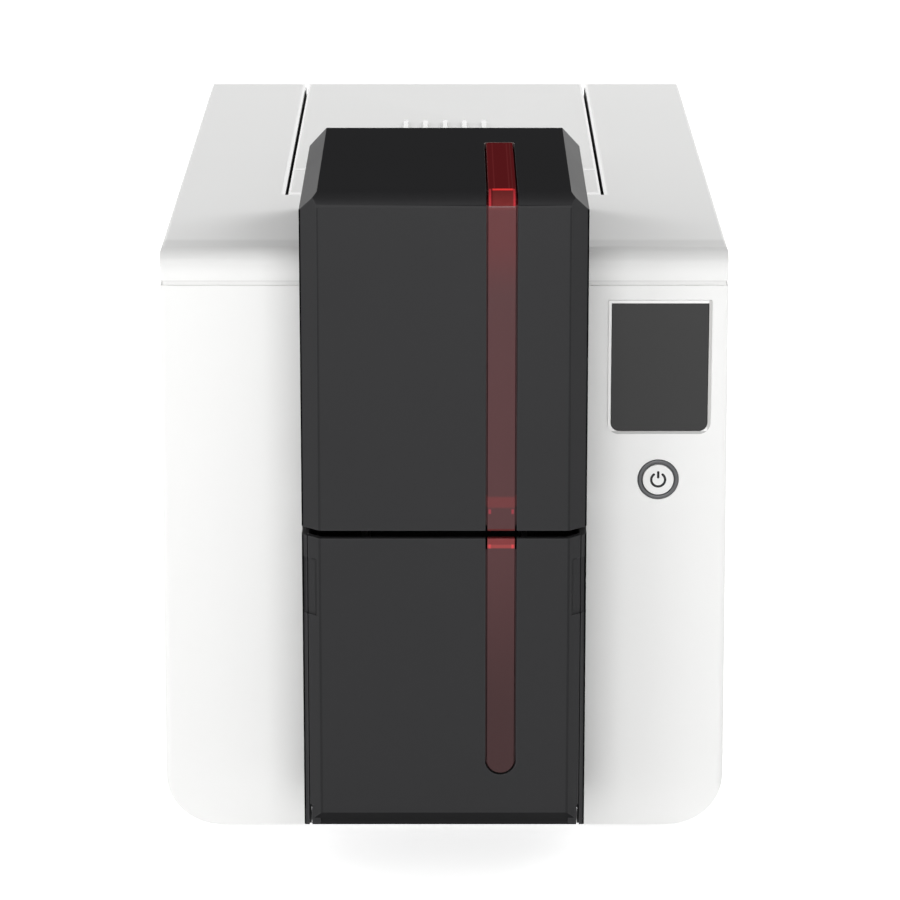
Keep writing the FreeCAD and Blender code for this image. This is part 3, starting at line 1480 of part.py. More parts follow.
def diverter_flap():
    """The flap that lets cards in over it and, raised, turns the finished ones down into the bin."""
    lean = math.radians(flap_lean)
    half = flap_thickness / 2

    def at(run, side):
        return (flap_y + run * math.cos(lean) - side * math.sin(lean),
                flap_pivot_z + run * math.sin(lean) + side * math.cos(lean))

    blade = prism_x([at(0, -half), at(0, half), at(flap_length, half / 2), at(flap_length, -half / 2)],
                    [0] * 4, -roller_face / 2, roller_face / 2)
    barrel = rod_x(-roller_face / 2, roller_face / 2, flap_y, flap_pivot_z, flap_pin_radius + half)
    pins = rod_x(-feeder_half + seat_gap, feeder_half - seat_gap, flap_y, flap_pivot_z, flap_pin_radius)
    return join([blade, barrel, pins])


def rear_flap():
    """The small door at the back where a rejected card comes out."""
    half = rear_flap_width / 2
    top = rear_flap_z + rear_flap_height - seat_gap
    plate = box(-half, half, back_y - wall, back_y, rear_flap_z, top)
    barrel = rod_x(-half, half, rear_flap_y, rear_flap_z, wall / 2)
    pins = rod_x(-half - rear_flap_pin_length + seat_gap, half + rear_flap_pin_length - seat_gap,
                 rear_flap_y, rear_flap_z, rear_flap_pin)
    scoop = rod_x(-finger_width / 4, finger_width / 4, back_y + wall, top, wall * 2)
    rib = box(-half + rib_depth, half - rib_depth, back_y - wall - thin_rib, back_y - wall + running_gap,
              top - rib_depth * 2, top - rib_depth)
    return join([plate.cut(scoop), barrel, pins, rib])


def socket_box(name, margin, y0, y1):
    """The space of a socket that stands on the main board, grown by margin."""
    low, width, height = socket_sizes[name]
    z = panel_z + low
    return box(board_x - width - margin, board_x + margin, y0, y1, z - margin, z + height + margin)


def power_socket():
    """The round low-voltage inlet with its centre pin."""
    y1 = back_y - wall + seat_gap
    y0 = y1 - power_socket_depth
    body = socket_box("power", 0, y0, y1)
    low, width, height = socket_sizes["power"]
    x, z = board_x - width / 2, panel_z + low + height / 2
    well = rod_y(x, y0 + socket_floor, y1 + overrun, z, power_well_radius)
    pin = rod_y(x, y0 + socket_floor - running_gap, y1 - socket_floor, z, power_pin_radius)
    return join([body.cut(well), pin])


def data_sockets():
    """The two steel-shelled data sockets: a square one with a tongue and a wide one with a latch step."""
    y1 = back_y - wall + seat_gap
    y0 = y1 - socket_depth
    shells = []
    for name in ("usb", "network"):
        body = socket_box(name, 0, y0, y1)
        well = socket_box(name, -socket_wall, y0 + socket_floor, y1 + overrun)
        low, width, height = socket_sizes[name]
        middle, z = board_x - width / 2, panel_z + low
        if name == "usb":
            inside = box(middle - usb_tongue_width / 2, middle + usb_tongue_width / 2,
                         y0 + socket_floor - running_gap, y1 - socket_floor,
                         z + height / 2 - usb_tongue_height / 2, z + height / 2 + usb_tongue_height / 2)
        else:
            inside = box(board_x - width + socket_wall - running_gap, board_x - socket_wall + running_gap,
                         y0 + socket_floor - running_gap, y0 + socket_floor + socket_contact,
                         z + height - socket_wall * 2, z + height - socket_wall + running_gap)
        shells.append(join([body.cut(well), inside]))
    return Part.makeCompound(shells)


def rear_panel():
    """The steel plate behind the housing's opening, with holes for the sockets and the cable lock."""
    x0, x1 = panel_centre_x - panel_width / 2 - panel_lip, panel_centre_x + panel_width / 2 + panel_lip
    y1 = back_y - wall
    plate = box(x0, x1, y1 - panel_thickness, y1, panel_z - panel_lip, panel_z + panel_height + panel_lip)
    holes = [socket_box(name, seat_gap / 2, y1 - panel_thickness - overrun, y1 + overrun)
             for name in socket_sizes]
    lock_x = board_x + board_thickness + lock_slot_width
    lock = prism_y(rectangle(lock_x - lock_slot_width / 2, lock_x + lock_slot_width / 2,
                             panel_z + lock_slot_low, panel_z + lock_slot_low + lock_slot_height),
                   [lock_slot_round] * 4, y1 - panel_thickness - overrun, y1 + overrun)
    return plate.cut(holes + [lock])


def circuit_boards():
    """The main board on edge at the right, and the small board behind the screen and the power button."""
    y1 = back_y - wall - panel_thickness - seat_gap
    y0 = y1 - board_length
    z0 = base_z + board_low
    main = [box(board_x, board_x + board_thickness, y0, y1, z0, z0 + board_height)]
    for y_share, z_share, length_share, height_share, rise in chip_shares:
        main.append(box(board_x - chip_height * rise, board_x + running_gap,
                        y0 + board_length * y_share, y0 + board_length * (y_share + length_share),
                        z0 + board_height * z_share, z0 + board_height * (z_share + height_share)))
    for i in range(capacitor_count):
        main.append(rod_x(board_x - capacitor_length, board_x + running_gap,
                          y0 + capacitor_inset + i * capacitor_pitch, z0 + board_height - capacitor_inset,
                          capacitor_radius))
    front_y0 = front_board_y()
    low = button_z - button_board_size / 2
    high = base_z + screen_high_height
    front = box(screen_centre_x - screen_width / 2, screen_centre_x + screen_width / 2,
                front_y0, front_y0 + button_board, low, high)
    switch = box(screen_centre_x - button_stem_radius * 2, screen_centre_x + button_stem_radius * 2,
                 front_y0 - thin_rib, front_y0 + running_gap, button_z - button_stem_radius * 2,
                 button_z + button_stem_radius * 2)
    return Part.makeCompound([join(main), join([front, switch])])


def front_board_y():
    return screen_y + screen_glass + screen_module + seat_gap / 2


def screen_bezel_frame():
    """The light grey frame set into the front round the screen."""
    outer = screen_opening(screen_bezel - running_gap, bezel_y, body_y + wall)
    inner = screen_opening(running_gap, bezel_y - overrun, body_y + wall + overrun)
    flange = screen_opening(screen_bezel + thin_rib, body_y + wall, body_y + wall + thin_rib)
    return join([outer, flange]).cut(inner)


def touch_screen():
    """Glass over the display module."""
    y0 = screen_y
    glass = screen_opening(0, y0, y0 + screen_glass)
    half = screen_width / 2 - thin_rib
    low, high = base_z + screen_low_height + thin_rib, base_z + screen_high_height - thin_rib
    module_y = y0 + screen_glass
    module = box(screen_centre_x - half, screen_centre_x + half, module_y, module_y + screen_module,
                 low, high)
    return join([glass, module])


def button_ring():
    inner = button_ring_radius - button_ring_rim
    body = rod_y(screen_centre_x, body_y - seat_gap, body_y + wall, button_z, button_ring_radius)
    flange = rod_y(screen_centre_x, body_y + wall, body_y + wall + thin_rib, button_z,
                   button_ring_radius + thin_rib)
    bore = rod_y(screen_centre_x, body_y - overrun, body_y + wall + overrun * 2, button_z, inner)
    return join([body, flange]).cut(bore)


def power_button():
    """The round button with a stem that reaches the switch."""
    radius = button_ring_radius - button_ring_rim - button_gap
    y0 = body_y - button_proud
    cap = rod_y(screen_centre_x, y0, body_y + wall, button_z, radius)
    stop = front_board_y() - thin_rib - seat_gap - button_travel
    stem = rod_y(screen_centre_x, body_y + wall - running_gap, stop, button_z, button_stem_radius)
    return join([cap, stem])


def fan_frame():
    y0, y1 = back_y - wall - fan_depth, back_y - wall
    half = fan_size / 2
    frame = box(-half, half, y0, y1, fan_z - half, fan_z + half)
    frame = frame.cut(rod_y(0, y0 - overrun, y1 + overrun, fan_z, fan_bore))
    strut = box(-fan_strut / 2, fan_strut / 2, y0, y0 + fan_strut / 2, fan_z, fan_z + fan_bore + running_gap)
    struts = []
    for i in range(3):
        turned = strut.copy()
        turned.rotate(Vector(0, y0, fan_z), Vector(0, 1, 0), i * 120)
        struts.append(turned)
    hub = rod_y(0, y0, y0 + fan_strut / 2, fan_z, fan_hub_radius)
    bore = rod_y(0, y0 - overrun, y0 + fan_strut, fan_z, fan_shaft_radius + running_gap)
    return join([frame, hub] + struts).cut(bore)


def fan_rotor():
    y0 = back_y - wall - fan_depth + fan_strut / 2 + seat_gap
    y1 = back_y - wall - fan_blade_gap
    middle = (y0 + y1) / 2
    hub = rod_y(0, y0, y1, fan_z, fan_hub_radius)
    shaft = rod_y(0, y0 - fan_strut / 2, y0 + seat_gap, fan_z, fan_shaft_radius)
    half_depth = (y1 - y0) * fan_blade_share / 2
    half_thick = fan_blade_thickness / 2
    blades = []
    for i in range(fan_blade_count):
        blade = box(fan_hub_radius - overrun, fan_bore - fan_blade_gap,
                    middle - half_depth, middle + half_depth, fan_z - half_thick, fan_z + half_thick)
        blade.rotate(Vector(0, middle, fan_z), Vector(1, 0, 0), fan_blade_pitch)
        blade.rotate(Vector(0, 0, fan_z), Vector(0, 1, 0), i * 360.0 / fan_blade_count)
        blades.append(blade)
    ring = rod_y(0, y0 - overrun, y1 + overrun, fan_z, fan_bore - fan_blade_gap)
    return join([join([hub] + blades).common(ring), shaft])


nodes = {
    "lower_housing": lower_housing,
    "top_housing": top_housing,
    "base_pan": base_pan,
    "rubber_feet": rubber_feet,
    "lid_cover": lid_cover,
    "lid_frame": lid_frame,
    "lid_hinge_pins": lid_hinge_pins,
    "print_head": print_head,
    "heat_sink": heat_sink,
    "release_bar": release_bar,
    "feeder_hood": feeder_hood,
    "hood_window": hood_window,
    "hood_hinge_pins": hood_hinge_pins,
    "output_door": output_door,
    "door_window": door_window,
    "door_hinge_pins": door_hinge_pins,
    "output_bin": output_bin,
    "feeder_frame": feeder_frame,
    "card_weight": card_weight,
    "gauge_slide": gauge_slide,
    "side_plate_left": side_plate_left,
    "side_plate_right": side_plate_right,
    "tie_rods": tie_rods,
    "shaft_bushes": shaft_bushes,
    "infeed_shaft": infeed_shaft,
    "infeed_roller": lambda: sleeve(infeed_y, roller_z, roller_face, roller_radius, shaft_radius),
    "support_shaft": lambda: driven_shaft(cleaning_y),
    "support_roller": lambda: sleeve(cleaning_y, roller_z, roller_face, roller_radius, shaft_radius),
    "platen_shaft": lambda: driven_shaft(platen_y),
    "platen_roller": lambda: sleeve(platen_y, roller_z, roller_face, roller_radius, shaft_radius),
    "rear_shaft": lambda: driven_shaft(rear_roller_y),
    "rear_roller": lambda: sleeve(rear_roller_y, roller_z, roller_face, roller_radius, shaft_radius),
    "pick_shaft": pick_shaft,
    "pick_roller": lambda: sleeve(pick_y, pick_z, pick_face, pick_radius, shaft_radius),
    "front_pinch_roller": lambda: pinch_roller(infeed_y),
    "rear_pinch_roller": lambda: pinch_roller(rear_roller_y),
    "cleaning_roller": cleaning_roller,
    "drive_belt": drive_belt,
    "feed_belt": feed_belt,
    "drive_motor": drive_motor,
    "motor_pulley": motor_pulley,
    "takeup_gear": takeup_gear,
    "ribbon_pinion": ribbon_pinion,
    "ribbon_motor": ribbon_motor,
    "takeup_spool": lambda: spool(takeup_y, takeup_pack_radius),
    "supply_spool": lambda: spool(supply_y, supply_pack_radius),
    "cassette_frame": cassette_frame,
    "ribbon_film": ribbon_film,
    "diverter_flap": diverter_flap,
    "rear_flap": rear_flap,
    "power_socket": power_socket,
    "data_sockets": data_sockets,
    "rear_panel": rear_panel,
    "circuit_boards": circuit_boards,
    "screen_bezel": screen_bezel_frame,
    "touch_screen": touch_screen,
    "button_ring": button_ring,
    "power_button": power_button,
    "fan_frame": fan_frame,
    "fan_rotor": fan_rotor,
}

os.makedirs("parts", exist_ok=True)
for name, build in nodes.items():
    shape = build()
    print(name, "valid" if shape.isValid() else "NOT VALID", len(shape.Solids), round(shape.Volume / 1000, 2))
    shape.exportStep("parts/" + name + ".step")
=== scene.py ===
import json
import math
import bmesh
import bpy
from mathutils import Matrix, Vector

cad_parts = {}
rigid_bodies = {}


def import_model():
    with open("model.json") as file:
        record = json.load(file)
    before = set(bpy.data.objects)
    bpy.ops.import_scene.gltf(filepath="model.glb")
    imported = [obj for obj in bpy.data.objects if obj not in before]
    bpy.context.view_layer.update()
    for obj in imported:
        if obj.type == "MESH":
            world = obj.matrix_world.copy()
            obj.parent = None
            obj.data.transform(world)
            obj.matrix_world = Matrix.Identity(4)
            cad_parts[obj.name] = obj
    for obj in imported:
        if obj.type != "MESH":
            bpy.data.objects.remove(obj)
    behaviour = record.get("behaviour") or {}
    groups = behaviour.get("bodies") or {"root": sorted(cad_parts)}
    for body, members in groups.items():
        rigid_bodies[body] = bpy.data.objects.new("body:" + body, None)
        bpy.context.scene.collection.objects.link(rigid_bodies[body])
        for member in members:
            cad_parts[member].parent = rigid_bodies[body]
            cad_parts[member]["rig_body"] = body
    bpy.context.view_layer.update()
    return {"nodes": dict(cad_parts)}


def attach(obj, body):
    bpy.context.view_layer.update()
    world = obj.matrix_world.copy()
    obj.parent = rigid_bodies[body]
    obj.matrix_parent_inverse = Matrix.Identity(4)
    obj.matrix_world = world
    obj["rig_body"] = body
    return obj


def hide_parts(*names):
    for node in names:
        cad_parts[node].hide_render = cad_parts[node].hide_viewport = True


# A desktop id card printer: the finish of its housings, covers, windows and inner parts.
# Lengths are in metres; MM turns the construction's sizes, given in millimetres, into metres.
MM = 0.001
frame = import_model()
nodes = frame["nodes"]

# Places and sizes on the printer, in millimetres
FRONT_Y = -190.5              # front of the feeder column
BODY_Y = -142.5               # front of the white housing
BACK_Y = 190.5
TOP_Z = 218.5                 # flat roof of the white housing
COLUMN_HALF = 49.95           # from the middle to the column's flat side
COLUMN_FRONT_HALF = 43.6      # from the middle to the end of the column's front
COLUMN_LOW_Z = 17.4
HOOD_TOP_Z = 248.5
LID_HALF = 59.2
OPENING_HALF = LID_HALF + 1.0
OPENING_FRONT_Y = BACK_Y - 238.5
WINDOW_X = 19.9
WINDOW_HALF = 4.7
SCREEN_X = 77.0
BOARD_X = 78.0
BUTTON_Z = 133.7
BUTTON_FACE_Y = BODY_Y - 0.5
RING_FACE_Y = BODY_Y - 0.3

# How copies of the solids are cleaned and softened: distances in millimetres, angles in degrees
MERGE_REACH = 0.002
FLAT_ANGLE = 0.6
SHARP_ANGLE = 25.0
SOFT_ANGLE = 30.0
LID_SOFT_ANGLE = 40.0
MARK_SOFT_ANGLE = 35.0
MOULDED_EDGE = 0.15
GLASS_EDGE = 0.2
BUTTON_EDGE = 0.3

# Shader values
WHITE = (1.0, 1.0, 1.0, 1.0)
COAT_ROUGHNESS = 0.08
EDGE_WEAR_AND_SHEEN_RADIUS = 0.8           # how far from an edge the lighter edge of wear and painted highlight reaches, in millimetres
STRIP_SOFT = 0.12             # softness of the strips beside seams, in millimetres
MIX_FIRST, MIX_SECOND, MIX_RESULT = 6, 7, 2     # the colour sockets of a Mix node


# Shader nodes
def put(tree, kind, inputs=None, **settings):
    """A node with its settings; each input is a plain value or the socket that feeds it."""
    node = tree.nodes.new(kind)
    for label, value in settings.items():
        setattr(node, label, value)
    for label, source in (inputs or {}).items():
        if isinstance(source, bpy.types.NodeSocket):
            tree.links.new(source, node.inputs[label])
        else:
            node.inputs[label].default_value = source
    return node


def maths(tree, operation, first, second):
    """The result of an operation on two values or sockets."""
    return put(tree, "ShaderNodeMath", {0: first, 1: second}, operation=operation).outputs[0]


def remap(tree, value, from_range, to_range, interpolation="LINEAR"):
    """A value carried from one range to another."""
    return put(tree, "ShaderNodeMapRange",
               {"Value": value, "From Min": from_range[0], "From Max": from_range[1],
                "To Min": to_range[0], "To Max": to_range[1]},
               interpolation_type=interpolation).outputs[0]


def mix_colours(tree, share, first, second):
    """A colour that goes from the first to the second as the share goes from 0 to 1."""
    return put(tree, "ShaderNodeMix", {"Factor": share, MIX_FIRST: first, MIX_SECOND: second},
               data_type="RGBA").outputs[MIX_RESULT]


def new_group(name, inputs, outputs):
    """A shader node group with named sockets; returns the tree, its inputs and its end node."""
    tree = bpy.data.node_groups.new(name, "ShaderNodeTree")
    for label, kind, value in inputs:
        socket = tree.interface.new_socket(label, in_out="INPUT", socket_type=kind)
        if value is not None:
            socket.default_value = value
    for label, kind in outputs:
        tree.interface.new_socket(label, in_out="OUTPUT", socket_type=kind)
    start = tree.nodes.new("NodeGroupInput")
    return tree, start.outputs, tree.nodes.new("NodeGroupOutput")


def close_group(tree, end, results):
    """Links the results to a group's end node, and returns the group."""
    for label, source in results.items():
        tree.links.new(source, end.inputs[label])
    return tree


# Shader groups
def make_grain_group():
    """Fine spark-eroded grain of moulded plastic, as a normal."""
    tree, given, end = new_group(
        "moulded_grain",
        [("Vector", "NodeSocketVector", None), ("Scale", "NodeSocketFloat", 1500.0),
         ("Depth", "NodeSocketFloat", 0.00002)],
        [("Normal", "NodeSocketVector")])
    fine = put(tree, "ShaderNodeTexNoise",
               {"Vector": given["Vector"], "Scale": given["Scale"], "Detail": 3.0,
                "Roughness": 0.6})
    bump = put(tree, "ShaderNodeBump",
               {"Height": fine.outputs["Fac"], "Distance": given["Depth"], "Strength": 1.0})
    return close_group(tree, end, {"Normal": bump.outputs["Normal"]})


def make_tone_group():
    """Slow drift of tone over a surface, and lighter edges: partly wear and partly a painted
    highlight.
    """
    tree, given, end = new_group(
        "tone_and_edges",
        [("Vector", "NodeSocketVector", None), ("Color", "NodeSocketColor", None),
         ("Edge Color", "NodeSocketColor", None), ("Scale", "NodeSocketFloat", 14.0),
         ("Drift", "NodeSocketFloat", 0.05), ("Edge Amount", "NodeSocketFloat", 0.3),
         ("Roughness", "NodeSocketFloat", 0.5)],
        [("Color", "NodeSocketColor"), ("Roughness", "NodeSocketFloat")])
    slow = put(tree, "ShaderNodeTexNoise",
               {"Vector": given["Vector"], "Scale": given["Scale"], "Detail": 4.0,
                "Roughness": 0.55})
    centred = maths(tree, "SUBTRACT", slow.outputs["Fac"], 0.5)
    swing = maths(tree, "MULTIPLY", centred, given["Drift"])
    brightness = maths(tree, "ADD", swing, 1.0)
    toned = put(tree, "ShaderNodeVectorMath", {0: given["Color"], "Scale": brightness},
                operation="SCALE")
    rounded = put(tree, "ShaderNodeBevel", {"Radius": EDGE_WEAR_AND_SHEEN_RADIUS * MM}, samples=4)
    shape = put(tree, "ShaderNodeNewGeometry")
    facing = put(tree, "ShaderNodeVectorMath",
                 {0: rounded.outputs["Normal"], 1: shape.outputs["Normal"]},
                 operation="DOT_PRODUCT")
    edge = remap(tree, facing.outputs["Value"], (0.995, 0.93), (0.0, 1.0))
    amount = maths(tree, "MULTIPLY", edge, given["Edge Amount"])
    colour = mix_colours(tree, amount, toned.outputs[0], given["Edge Color"])
    rough = maths(tree, "SUBTRACT", given["Roughness"], swing)
    return close_group(tree, end, {"Color": colour, "Roughness": rough})


def make_brushed_group():
    """Fine lines along one direction, as on rolled or ground steel."""
    tree, given, end = new_group(
        "brushed_lines",
        [("Vector", "NodeSocketVector", None), ("Stretch", "NodeSocketVector", (1.0, 40.0, 40.0)),
         ("Scale", "NodeSocketFloat", 60.0), ("Depth", "NodeSocketFloat", 0.00001),
         ("Roughness", "NodeSocketFloat", 0.3)],
        [("Normal", "NodeSocketVector"), ("Roughness", "NodeSocketFloat")])
    pulled = put(tree, "ShaderNodeVectorMath", {0: given["Vector"], 1: given["Stretch"]},
                 operation="MULTIPLY")
    lines = put(tree, "ShaderNodeTexNoise",
                {"Vector": pulled.outputs[0], "Scale": given["Scale"], "Detail": 3.0})
    bump = put(tree, "ShaderNodeBump",
               {"Height": lines.outputs["Fac"], "Distance": given["Depth"], "Strength": 1.0})
    swing = remap(tree, lines.outputs["Fac"], (0.3, 0.7), (-0.06, 0.06))
    rough = maths(tree, "ADD", given["Roughness"], swing)
    return close_group(tree, end, {"Normal": bump.outputs["Normal"], "Roughness": rough})


def make_band_group():
    """A mask that is one between two places along an axis, with soft ends."""
    tree, given, end = new_group(
        "band",
        [("Place", "NodeSocketFloat", 0.0), ("Low", "NodeSocketFloat", 0.0),
         ("High", "NodeSocketFloat", 1.0), ("Soft", "NodeSocketFloat", 0.0001)],
        [("Mask", "NodeSocketFloat")])
    masks = []
    for label, to_range in (("Low", (0.0, 1.0)), ("High", (1.0, 0.0))):
        under = maths(tree, "SUBTRACT", given[label], given["Soft"])
        over = maths(tree, "ADD", given[label], given["Soft"])
        masks.append(remap(tree, given["Place"], (under, over), to_range, "SMOOTHSTEP"))
    return close_group(tree, end, {"Mask": maths(tree, "MULTIPLY", *masks)})


grain_group = make_grain_group()
tone_group = make_tone_group()
brushed_group = make_brushed_group()
band_group = make_band_group()


# Colours
def linear(grey):
    """Linear value of a display grey from 0 to 255."""
    share = grey / 255
    return share / 12.92 if share <= 0.04045 else ((share + 0.055) / 1.055) ** 2.4


def tint(red, green, blue):
    """A colour as it shows on a display, from 0 to 255."""
    return (linear(red), linear(green), linear(blue), 1.0)


def deep(red, green, blue):
    """A strong colour in linear values, for the tinted windows."""
    return (red, green, blue, 1.0)


# Materials
materials = {}


def start_material(name):
    """A new material, kept by its name: its tree, its shader and its Object coordinates."""
    material = bpy.data.materials.new(name)
    material.use_nodes = True
    materials[name] = material
    tree = material.node_tree
    place = put(tree, "ShaderNodeTexCoord").outputs["Object"]
    return tree, tree.nodes["Principled BSDF"], place


def band_mask(tree, axes, soft, reach):
    """A mask of one within a reach, given by axis in millimetres."""
    mask = None
    for axis, (low, high) in reach.items():
        band = put(tree, "ShaderNodeGroup",
                   {"Place": axes[axis], "Low": low * MM, "High": high * MM, "Soft": soft * MM},
                   node_tree=band_group).outputs["Mask"]
        mask = band if mask is None else maths(tree, "MULTIPLY", mask, band)
    return mask


def add_bands(tree, axes, colour, bands):
    """Lays bands over a colour; each has a colour, a softness and its reach by axis, in mm."""
    for band_colour, soft, reach in bands:
        colour = mix_colours(tree, band_mask(tree, axes, soft, reach), colour, band_colour)
    return colour


def strip_coat(tree, axes, reaches):
    """A mask for the clear coat on narrow strips beside seams, so that they shine."""
    total = 0.0
    for reach in reaches:
        total = maths(tree, "MAXIMUM", total, band_mask(tree, axes, STRIP_SOFT, reach))
    return total


def moulded(name, colour, roughness, specular, grain, depth, drift,
            edge=None, edge_amount=0.3, bands=(), coat=0.0, gloss=()):
    """Moulded plastic or rubber: drifting tone, lighter edges that are partly wear and partly
    painted highlight, and fine grain.
    """
    tree, shader, place = start_material(name)
    tone = put(tree, "ShaderNodeGroup",
               {"Vector": place, "Color": colour, "Edge Color": edge or colour, "Drift": drift,
                "Edge Amount": edge_amount if edge else 0.0, "Roughness": roughness},
               node_tree=tone_group)
    skin = put(tree, "ShaderNodeGroup", {"Vector": place, "Scale": grain, "Depth": depth},
               node_tree=grain_group)
    base = tone.outputs["Color"]
    shader.inputs["Coat Weight"].default_value = coat
    if bands or gloss:
        axes = put(tree, "ShaderNodeSeparateXYZ", {0: place}).outputs
        base = add_bands(tree, axes, base, bands)
    if gloss:
        tree.links.new(strip_coat(tree, axes, gloss), shader.inputs["Coat Weight"])
    tree.links.new(base, shader.inputs["Base Color"])
    tree.links.new(tone.outputs["Roughness"], shader.inputs["Roughness"])
    tree.links.new(skin.outputs["Normal"], shader.inputs["Normal"])
    shader.inputs["Specular IOR Level"].default_value = specular
    shader.inputs["Coat Roughness"].default_value = COAT_ROUGHNESS


def metal(name, colour, roughness, stretch=(1.0, 40.0, 40.0)):
    """Rolled, ground or cast metal with fine lines."""
    tree, shader, place = start_material(name)
    # Lighter edges: partly wear and partly a painted highlight
    edge_wear_and_sheen = tuple(min(1.0, value * 1.25) for value in colour[:3]) + (1.0,)
    tone = put(tree, "ShaderNodeGroup",
               {"Vector": place, "Color": colour, "Edge Color": edge_wear_and_sheen, "Drift": 0.08,
                "Edge Amount": 0.4, "Roughness": roughness},
               node_tree=tone_group)
    lines = put(tree, "ShaderNodeGroup",
                {"Vector": place, "Stretch": stretch, "Depth": 0.000004, "Roughness": roughness},
                node_tree=brushed_group)
    tree.links.new(tone.outputs["Color"], shader.inputs["Base Color"])
    tree.links.new(lines.outputs["Roughness"], shader.inputs["Roughness"])
    tree.links.new(lines.outputs["Normal"], shader.inputs["Normal"])
    shader.inputs["Metallic"].default_value = 1.0


# The window strips show ledges of the moulding behind them as bands across, and its walls as
# bands along; the bright bands are painted glints and highlights, and the lower strip is darker
strip_low, strip_high = WINDOW_X - WINDOW_HALF, WINDOW_X + WINDOW_HALF
front_bands_and_glints = [
    (deep(0.044, 0.016, 0.017), 40.0, {"Z": (-100.0, 96.0)}),
    (deep(0.105, 0.024, 0.026), 12.0, {"Z": (222.0, 260.0)}),
    (deep(0.135, 0.03, 0.032), 0.6, {"Z": (137.0, 140.9)}),
    (deep(0.09, 0.006, 0.006), 0.3, {"Z": (126.5, 129.3)}),
    (deep(0.19, 0.028, 0.03), 0.4, {"Z": (123.6, 126.6)}),
    (deep(0.30, 0.045, 0.045), 0.3, {"Z": (122.3, 123.6)}),
    (deep(0.13, 0.028, 0.03), 0.5, {"Z": (243.0, 246.4)}),
]
for wall in ((strip_low + 0.3, strip_low + 1.1), (strip_high - 1.1, strip_high - 0.3)):
    front_bands_and_glints += [
        (deep(0.30, 0.035, 0.05), 0.3, {"X": wall, "Z": (134.8, 136.4)}),
        (deep(0.62, 0.05, 0.06), 0.3, {"X": wall, "Z": (122.3, 123.6)}),
        (deep(0.60, 0.04, 0.05), 0.25, {"X": wall, "Z": (245.0, 248.0)}),
    ]

# On the hood's top: walls along it, then the bend at the front, with painted highlights where
# ledges and walls shine
along_top, at_bend = (-181.0, -80.0), (-191.0, -182.0)
top_bands_and_glints = [
    (deep(0.16, 0.020, 0.022), 0.12, {"X": (17.1, 17.45), "Y": along_top}),
    (deep(0.15, 0.020, 0.022), 0.12, {"X": (22.2, 22.6), "Y": along_top}),
    (deep(0.13, 0.022, 0.022), 0.15, {"X": (23.4, 23.7), "Y": along_top}),
    (deep(0.13, 0.022, 0.022), 0.25, {"X": (strip_low - 0.2, strip_low + 0.25),
                                      "Y": (-181.0, -98.0)}),
    (deep(0.17, 0.025, 0.025), 0.3, {"X": (16.6, 24.0), "Y": (-191.0, -185.0)}),
    (deep(0.48, 0.035, 0.045), 0.25, {"X": (strip_low + 0.2, strip_low + 0.9), "Y": at_bend}),
    (deep(0.48, 0.035, 0.045), 0.25, {"X": (strip_high - 0.9, strip_high - 0.2), "Y": at_bend}),
    (deep(0.95, 0.05, 0.05), 0.35, {"X": (16.6, 23.7), "Y": (-184.6, -181.6)}),
]

# Painted shade and light on the hood's round front edge, below its flat top, and a painted
# lighter tone on its right slope
bend_shading_bands = [(tint(50, 50, 51), 1.4, {"Z": (200.0, 245.6)}),
              (tint(38, 38, 39), 0.3, {"Z": (200.0, 244.6)})]
slope_light_bands = [(tint(52, 52, 52), 1.0, {"X": (30.0, 60.0)})]

# Painted highlights: white strips that shine beside the seams of the lid and of the opening for
# it
seam_highlight = tint(252, 252, 251)
lid_highlight_strips = [{"Y": (-1.5, 1.9)}, {"Y": (-47.9, -43.4)}, {"X": (58.1, 60.0)},
              {"X": (-60.0, -58.1)}]
opening_highlight_strips = [{"X": side, "Y": (-47.5, 200.0), "Z": (214.0, 240.0)}
                  for side in ((LID_HALF, LID_HALF + 2.4), (-LID_HALF - 2.4, -LID_HALF))]
lid_highlight_bands = [(seam_highlight, STRIP_SOFT, strip) for strip in lid_highlight_strips]
seam_highlight_and_shade_bands = [(seam_highlight, STRIP_SOFT, strip) for strip in opening_highlight_strips]
# Painted shade on the upper housing's large front radius, and painted shade lines along its lower
# edge at the seam
seam_highlight_and_shade_bands += [
    (tint(225, 225, 224), 3.0, {"Z": (212.0, 240.0), "Y": (-150.0, -127.0)}),
    (tint(232, 232, 231), 0.15, {"Z": (205.0, 206.9)}),
    (tint(205, 205, 204), 0.1, {"Z": (206.75, 207.05)}),
]

# Painted shade lines round the finger grips at both sides of the door
grip_shade_bands = []
for low, high, line, soft, heights in (
        (44.7, 45.25, tint(30, 30, 31), 0.12, (97.2, 117.7)),
        (44.9, 46.6, tint(26, 26, 27), 0.2, (117.2, 118.0))):
    for side in ((low, high), (-high, -low)):
        grip_shade_bands.append((line, soft, {"X": side, "Z": heights}))

# The shaded right and lower borders of the screen's bezel
bezel_bands = [
    (tint(196, 195, 193), 0.15, {"X": (94.3, 98.0)}),
    (tint(184, 184, 183), 0.15, {"Z": (146.0, 151.9)}),
]

# Panels of colour on the ribbon film
film_bands = [
    (tint(214, 196, 40), 0.2, {"Y": (20.0, 45.0)}),
    (tint(40, 150, 190), 0.2, {"Y": (70.0, 92.0)}),
]

# Each family of mouldings: the scale of its grain, its depth in metres and the drift of tone
white_skin = (1700.0, 0.000012, 0.02)
black_skin = (1800.0, 0.000016, 0.1)
window_skin = (60.0, 0.0, 0.05)
housing_white = tint(240, 240, 239)
cover_black, cover_edge_wear_and_sheen = tint(46, 46, 47), tint(70, 70, 72)
metal_edge_wear_and_sheen = tint(120, 120, 122)
